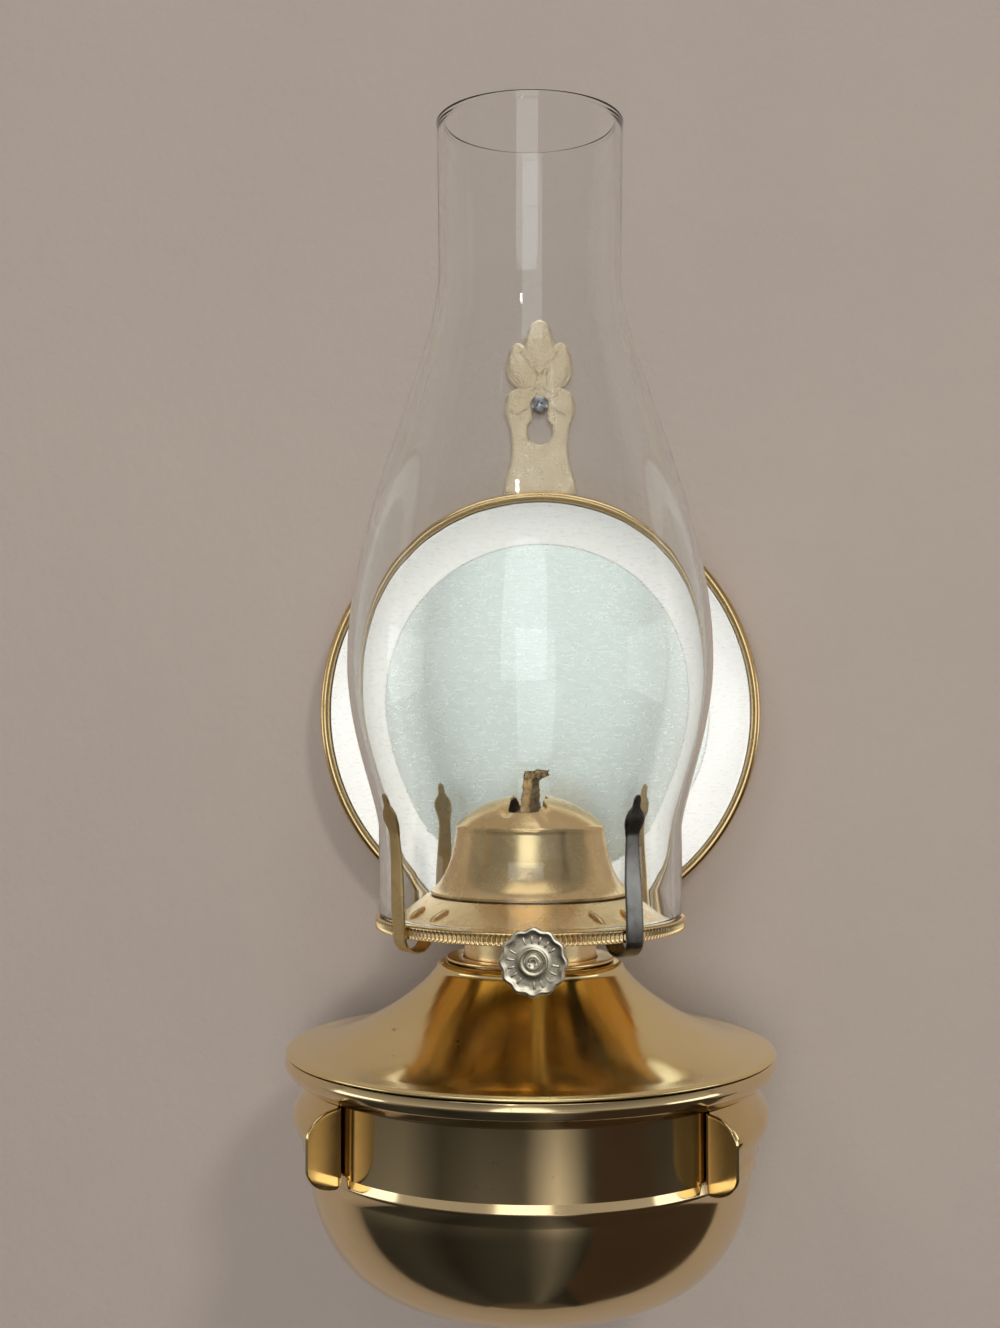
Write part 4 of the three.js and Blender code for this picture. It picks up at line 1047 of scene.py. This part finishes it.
def strap_length():
    joint_z = -90.4
    line = rounded([(3.4, -104.6), (3.4, -94.6), (0, joint_z), (0, ORNAMENT_FOOT)], {1: 1.6, 2: 1.6},
                   closed=False, steps=6)
    line = [p for p in line if not (p[0] == 0 and p[1] > joint_z + 3)]
    line += [(0, z) for z in np.linspace(joint_z + 4, ORNAMENT_FOOT, 60)]
    p = np.array([line[0]] + [b for a, b in zip(line, line[1:]) if dist(a, b) > 1e-4])
    d = np.gradient(p, axis=0)
    d /= np.linalg.norm(d, axis=1)[:, None]
    face = p + np.stack([d[:, 1], -d[:, 0]], 1) * STRAP_SHEET
    across = np.array([-1, -0.99, -0.965, -0.93, -0.6, -0.3, 0, 0.3, 0.6, 0.93, 0.965, 0.99, 1])
    soft = np.clip((np.abs(across) - 0.93) / 0.07, 0, 1) ** 2.2 * 0.22
    points, faces = strip(p, face, [HALF_STRAP] * len(p), across, soft, near_soft=0.6)
    points = np.stack([points[:, 1], -points[:, 0], points[:, 2]], 1)
    piece("strap_length", "bracket", "strap_brass", strap_brass, (points, faces))


def wall_screw():
    """The screw in the wall that the keyhole hangs on, with its cross slot."""
    section = rounded([(0, 0.3), (1.5, 0.3), (1.5, 1.5), (2.75, 1.5), (2.7, 2.2), (2.0, 2.9), (0.8, 3.15),
                       (0, 3.2)], {2: 0.2, 3: 0.3, 4: 0.5, 5: 0.6})
    where = outward_at(0, 88.3)
    bar = [[(a * 1.45 * share, b * 0.36, reach) for a, b in ((-1, -1), (1, -1), (1, 1), (-1, 1))]
           for reach, share in ((2.1, 0.35), (4.2, 1.0))]
    cutters = [cutter(f"cut_cross_{turn}", bar, lambda p: where(turned_about_axis(p, radians(turn))))
               for turn in (20, 110)]
    piece("wall_screw", "bracket", "nickel", screw_steel, lathe(section, 48), where, cutters=cutters)


strap_ornament()
strap_length()
wall_screw()


# Spring clip

def clip_stations():
    """The clip's right half from the wall to its tab, as (place, heading, rib, low, high)."""
    middle, mouth, bend_radius, low, high = 55.1 + 0.45, radians(49.5), 2.2, 35.3, 51.3
    stations = []
    for angle in np.linspace(pi, mouth, 61):
        at = np.array([sin(angle), -cos(angle)]) * middle
        stations.append((at, angle + pi, smooth((angle - mouth) * middle, 0, 9), low, high))
    at, heading, rib = stations[-1][:3]
    out = np.array([sin(mouth), -cos(mouth)])
    centre = at + out * bend_radius
    for share in np.arange(1, 13) / 12:
        turn = radians(80) * share
        c, s = cos(turn), sin(turn)
        arm = np.array([-out[0] * c + out[1] * s, -out[0] * s - out[1] * c])
        stations.append((centre + arm * bend_radius, heading + turn, rib,
                         low - 2.1 * smooth(share, 0.2, 1), high))
    at, heading, rib, low, high = stations[-1]
    ahead = np.array([cos(heading), sin(heading)])
    for share in (0.08, 0.2, 0.35, 0.48, 0.6, 0.7, 0.79, 0.86, 0.92, 0.96, 0.99, 1):
        half = (0.4 + 0.6 * sqrt(max(1 - share ** 2, 0))) * (high - low) / 2
        stations.append((at + ahead * 8.6 * share, heading, rib, (low + high) / 2 - half,
                         (low + high) / 2 + half))
    return stations


def font_clip():
    right = clip_stations()
    both = [(-1, station) for station in right[:0:-1]] + [(1, station) for station in right]
    half_rib = 14.5 / 16 / 2
    rows = [0, 0.004, 0.02] + [0.5 + a * half_rib for a in np.linspace(-1, 1, 21)] + [0.98, 0.996, 1]
    rows.sort()

    def face(side):
        grid = []
        for flip, (at, heading, rib, low, high) in both:
            out = np.array([-sin(heading), cos(heading)])
            points = []
            for row in rows:
                across = max(-1, min(1, (2 * row - 1) / (2 * half_rib)))
                swell = 2.6 * rib * (1 + cos(pi * across)) / 2
                thin = 0.45 * (1 - 0.35 * max(0, 1 - min(row, 1 - row) / 0.02) ** 2)
                x, y = at + out * (side * thin + swell)
                points.append((flip * x, y, low + (high - low) * row))
            grid.append(points)
        return grid

    dressed("font_clip", "bracket", "bright_brass", clip_brass, between_grids(face(1), face(-1)), on_lamp, 50)


font_clip()


# Stage: wall, floor, lights, and a studio that only reflections show

def sheet_on_stage(name, points, faces, look):
    mesh = bpy.data.meshes.new(name)
    mesh.from_pydata(points, [], faces)
    mesh.shade_smooth()
    mesh.materials.append(look.material)
    obj = add_object(name, mesh)
    obj.visible_shadow = False
    return obj


def only_mirrored(obj):
    for ray in ("camera", "diffuse", "transmission", "volume_scatter"):
        setattr(obj, f"visible_{ray}", False)


def rectangle(name, centre, across, up, look):
    c, a, u = Vector(centre), Vector(across), Vector(up)
    corners = [tuple(p) for p in (c - a - u, c + a - u, c + a + u, c - a + u)]
    return sheet_on_stage(name, corners, [(0, 1, 2, 3)], look)


def plaster(name, tone, deep):
    look = Look(name)
    cloud = look.noise(5, detail=4, rough=0.6)
    look.set(Roughness=0.9, Base_Color=look.mix(look.remap(cloud, 0.35, 0.7), tone, deep))
    look.bump(look.noise(420, detail=3, rough=0.6), 0.0003)
    look.bump(look.noise(110, detail=2), 0.0004)
    return look


def see_through_from_behind(look):
    """So that the wall doesn't hide the part in the views from behind."""
    behind = look.add("NewGeometry")["Backfacing"]
    clear = look.add("BsdfTransparent")[0]
    mixed = look.add("MixShader", {0: behind, 1: look.shader.outputs[0], 2: clear})[0]
    look.feed(look.tree.nodes["Material Output"].inputs["Surface"], mixed)


# Brightness of the plain studio round the lamp, by azimuth in degrees from the front
STUDIO_TINT = (1, 0.93, 0.84)
STUDIO_LOW = [(-100, 0.12), (-60, 0.2), (-40, 0.03), (-20, 0.1), (0, 0.08), (15, 0.8), (30, 0.04), (70, 0.03),
              (100, 0.1)]
STUDIO_HIGH = [(-100, 0.45), (-20, 0.4), (0, 0.8), (20, 0.4), (100, 0.45)]


def room(name, brightness, line, fades):
    """Part of a round room. line holds (radius, z), fades holds (z, brightness)."""
    look = Look(name)
    place = look.split()
    azimuth = look.math("ARCTAN2", place["X"], look.math("MULTIPLY", place["Y"], -1))
    stops = [(radians(at), [tone * share for share in STUDIO_TINT]) for at, tone in brightness]
    look.set(Base_Color=BLACK, Emission_Color=look.ramp(azimuth, stops),
             Emission_Strength=look.ramp(place["Z"], [(z, (f, f, f)) for z, f in fades]))
    turns = np.radians(np.linspace(-100, 100, 61))
    points = [(radius * sin(t), -radius * cos(t), z) for radius, z in line for t in turns]
    faces = quads(np.arange(len(points)).reshape(len(line), -1))
    only_mirrored(sheet_on_stage(name, points, faces, look))


def glow_card(name, centre, across, up, colour, strength):
    look = Look(name)
    look.set(Base_Color=BLACK, Emission_Color=colour, Emission_Strength=strength)
    only_mirrored(rectangle(name, centre, across, up, look))


def softbox(name, place, target, size, power, colour, mirrored=True):
    data = bpy.data.lights.new(name, "AREA")
    data.shape = "RECTANGLE"
    data.size, data.size_y = size
    data.energy = power
    data.color = colour
    obj = add_object(name, data)
    obj.location = place
    obj.rotation_euler = (Vector(target) - Vector(place)).to_track_quat("-Z", "Y").to_euler()
    obj.visible_glossy = mirrored
    obj.visible_transmission = mirrored


def stage():
    wall = plaster("wall_plaster", (0.31, 0.27, 0.245), (0.29, 0.25, 0.228))
    see_through_from_behind(wall)
    floor = plaster("floor_pale", (0.62, 0.58, 0.53), (0.58, 0.54, 0.49))
    rectangle("wall", (0, WALL_Y, FLOOR_Z + 1.3), (2.4, 0, 0), (0, 0, 1.3), wall)
    rectangle("floor", (0, 0, FLOOR_Z), (3, 0, 0), (0, 3, 0), floor)

    room("room_low", STUDIO_LOW, [(0.15, -0.88), (0.7, -0.87), (1.2, -0.8), (1.5, -0.6), (1.5, -0.2)],
         [(-0.88, 0.1), (-0.76, 0.15), (-0.6, 0.35), (-0.46, 0.8), (-0.3, 1.15), (-0.2, 1.35)])
    room("room_high", STUDIO_HIGH, [(1.5, -0.2), (1.5, 0.2), (1.5, 0.6), (1.45, 1.0), (1.2, 1.3)],
         [(-0.2, 0.2), (-0.1, 0.5), (0.02, 0.95), (0.45, 0.8), (0.9, 0.35), (1.3, 0.3)])
    cool = (0.95, 1, 1)
    for side, sign in (("left", -1), ("right", 1)):
        glow_card(f"mirror_{side}", (sign * 0.95, -0.3, 0), (-sign * 0.08, 0.27, 0), (0, 0, 0.15), cool, 1.7)
    glow_card("mirror_top", (0, -0.3, 0.95), (0.5, 0, 0), (0, 0.27, 0.08), cool, 1.7)
    glow_card("floor_mirrored", (0, -0.76, -0.89), (1.5, 0, 0), (0, 0.75, 0), (0.05, 0.036, 0.026), 1)
    glow_card("shade_right", (0.19, -0.2, -0.52), (0, 0.17, 0), (0, 0, 0.37), (0.035, 0.022, 0.014), 1)

    daylight = (0.92, 0.98, 1)
    softbox("key_softbox", (0.5, -1.25, 0.72), (0, -0.03, -0.02), (0.16, 0.16), 7.5, STUDIO_TINT, False)
    softbox("fill_softbox", (-0.5, -1.1, 0.75), (0, -0.05, 0), (0.3, 0.3), 2.2, (1, 0.94, 0.86), False)
    softbox("overhead_softbox", (0, -0.7, 1.6), (0, -0.1, 0), (1.2, 1.0), 4, (1, 0.95, 0.88))
    softbox("window_softbox", (-0.02, -1.46, 0.33), (-0.02, 0, 0.33), (0.68, 1.0), 2.5, daylight)
    softbox("low_softbox", (0.1, -1.0, -0.6), (0, 0, 0), (0.3, 0.3), 1.2, daylight, False)
    softbox("front_softbox", (0, -1.3, 0), (0, 0, 0), (0.4, 0.4), 8, (1, 0.97, 0.93), False)
    softbox("spark_softbox", (-0.175, -1.31, 1.07), (0, -0.06, 0.08), (0.06, 0.06), 0.4, (1, 0.96, 0.9))
    softbox("back_softbox", (0.4, 1.2, 0.3), (0, 0, 0), (1.4, 1.4), 12, (1, 0.96, 0.9))

    world = bpy.data.worlds.new("studio")
    world.use_nodes = True
    background = world.node_tree.nodes["Background"]
    background.inputs["Color"].default_value = (0.9, 0.86, 0.82, 1)
    background.inputs["Strength"].default_value = 0.18
    bpy.context.scene.world = world
    bpy.context.scene.view_settings.view_transform = "Standard"


stage()
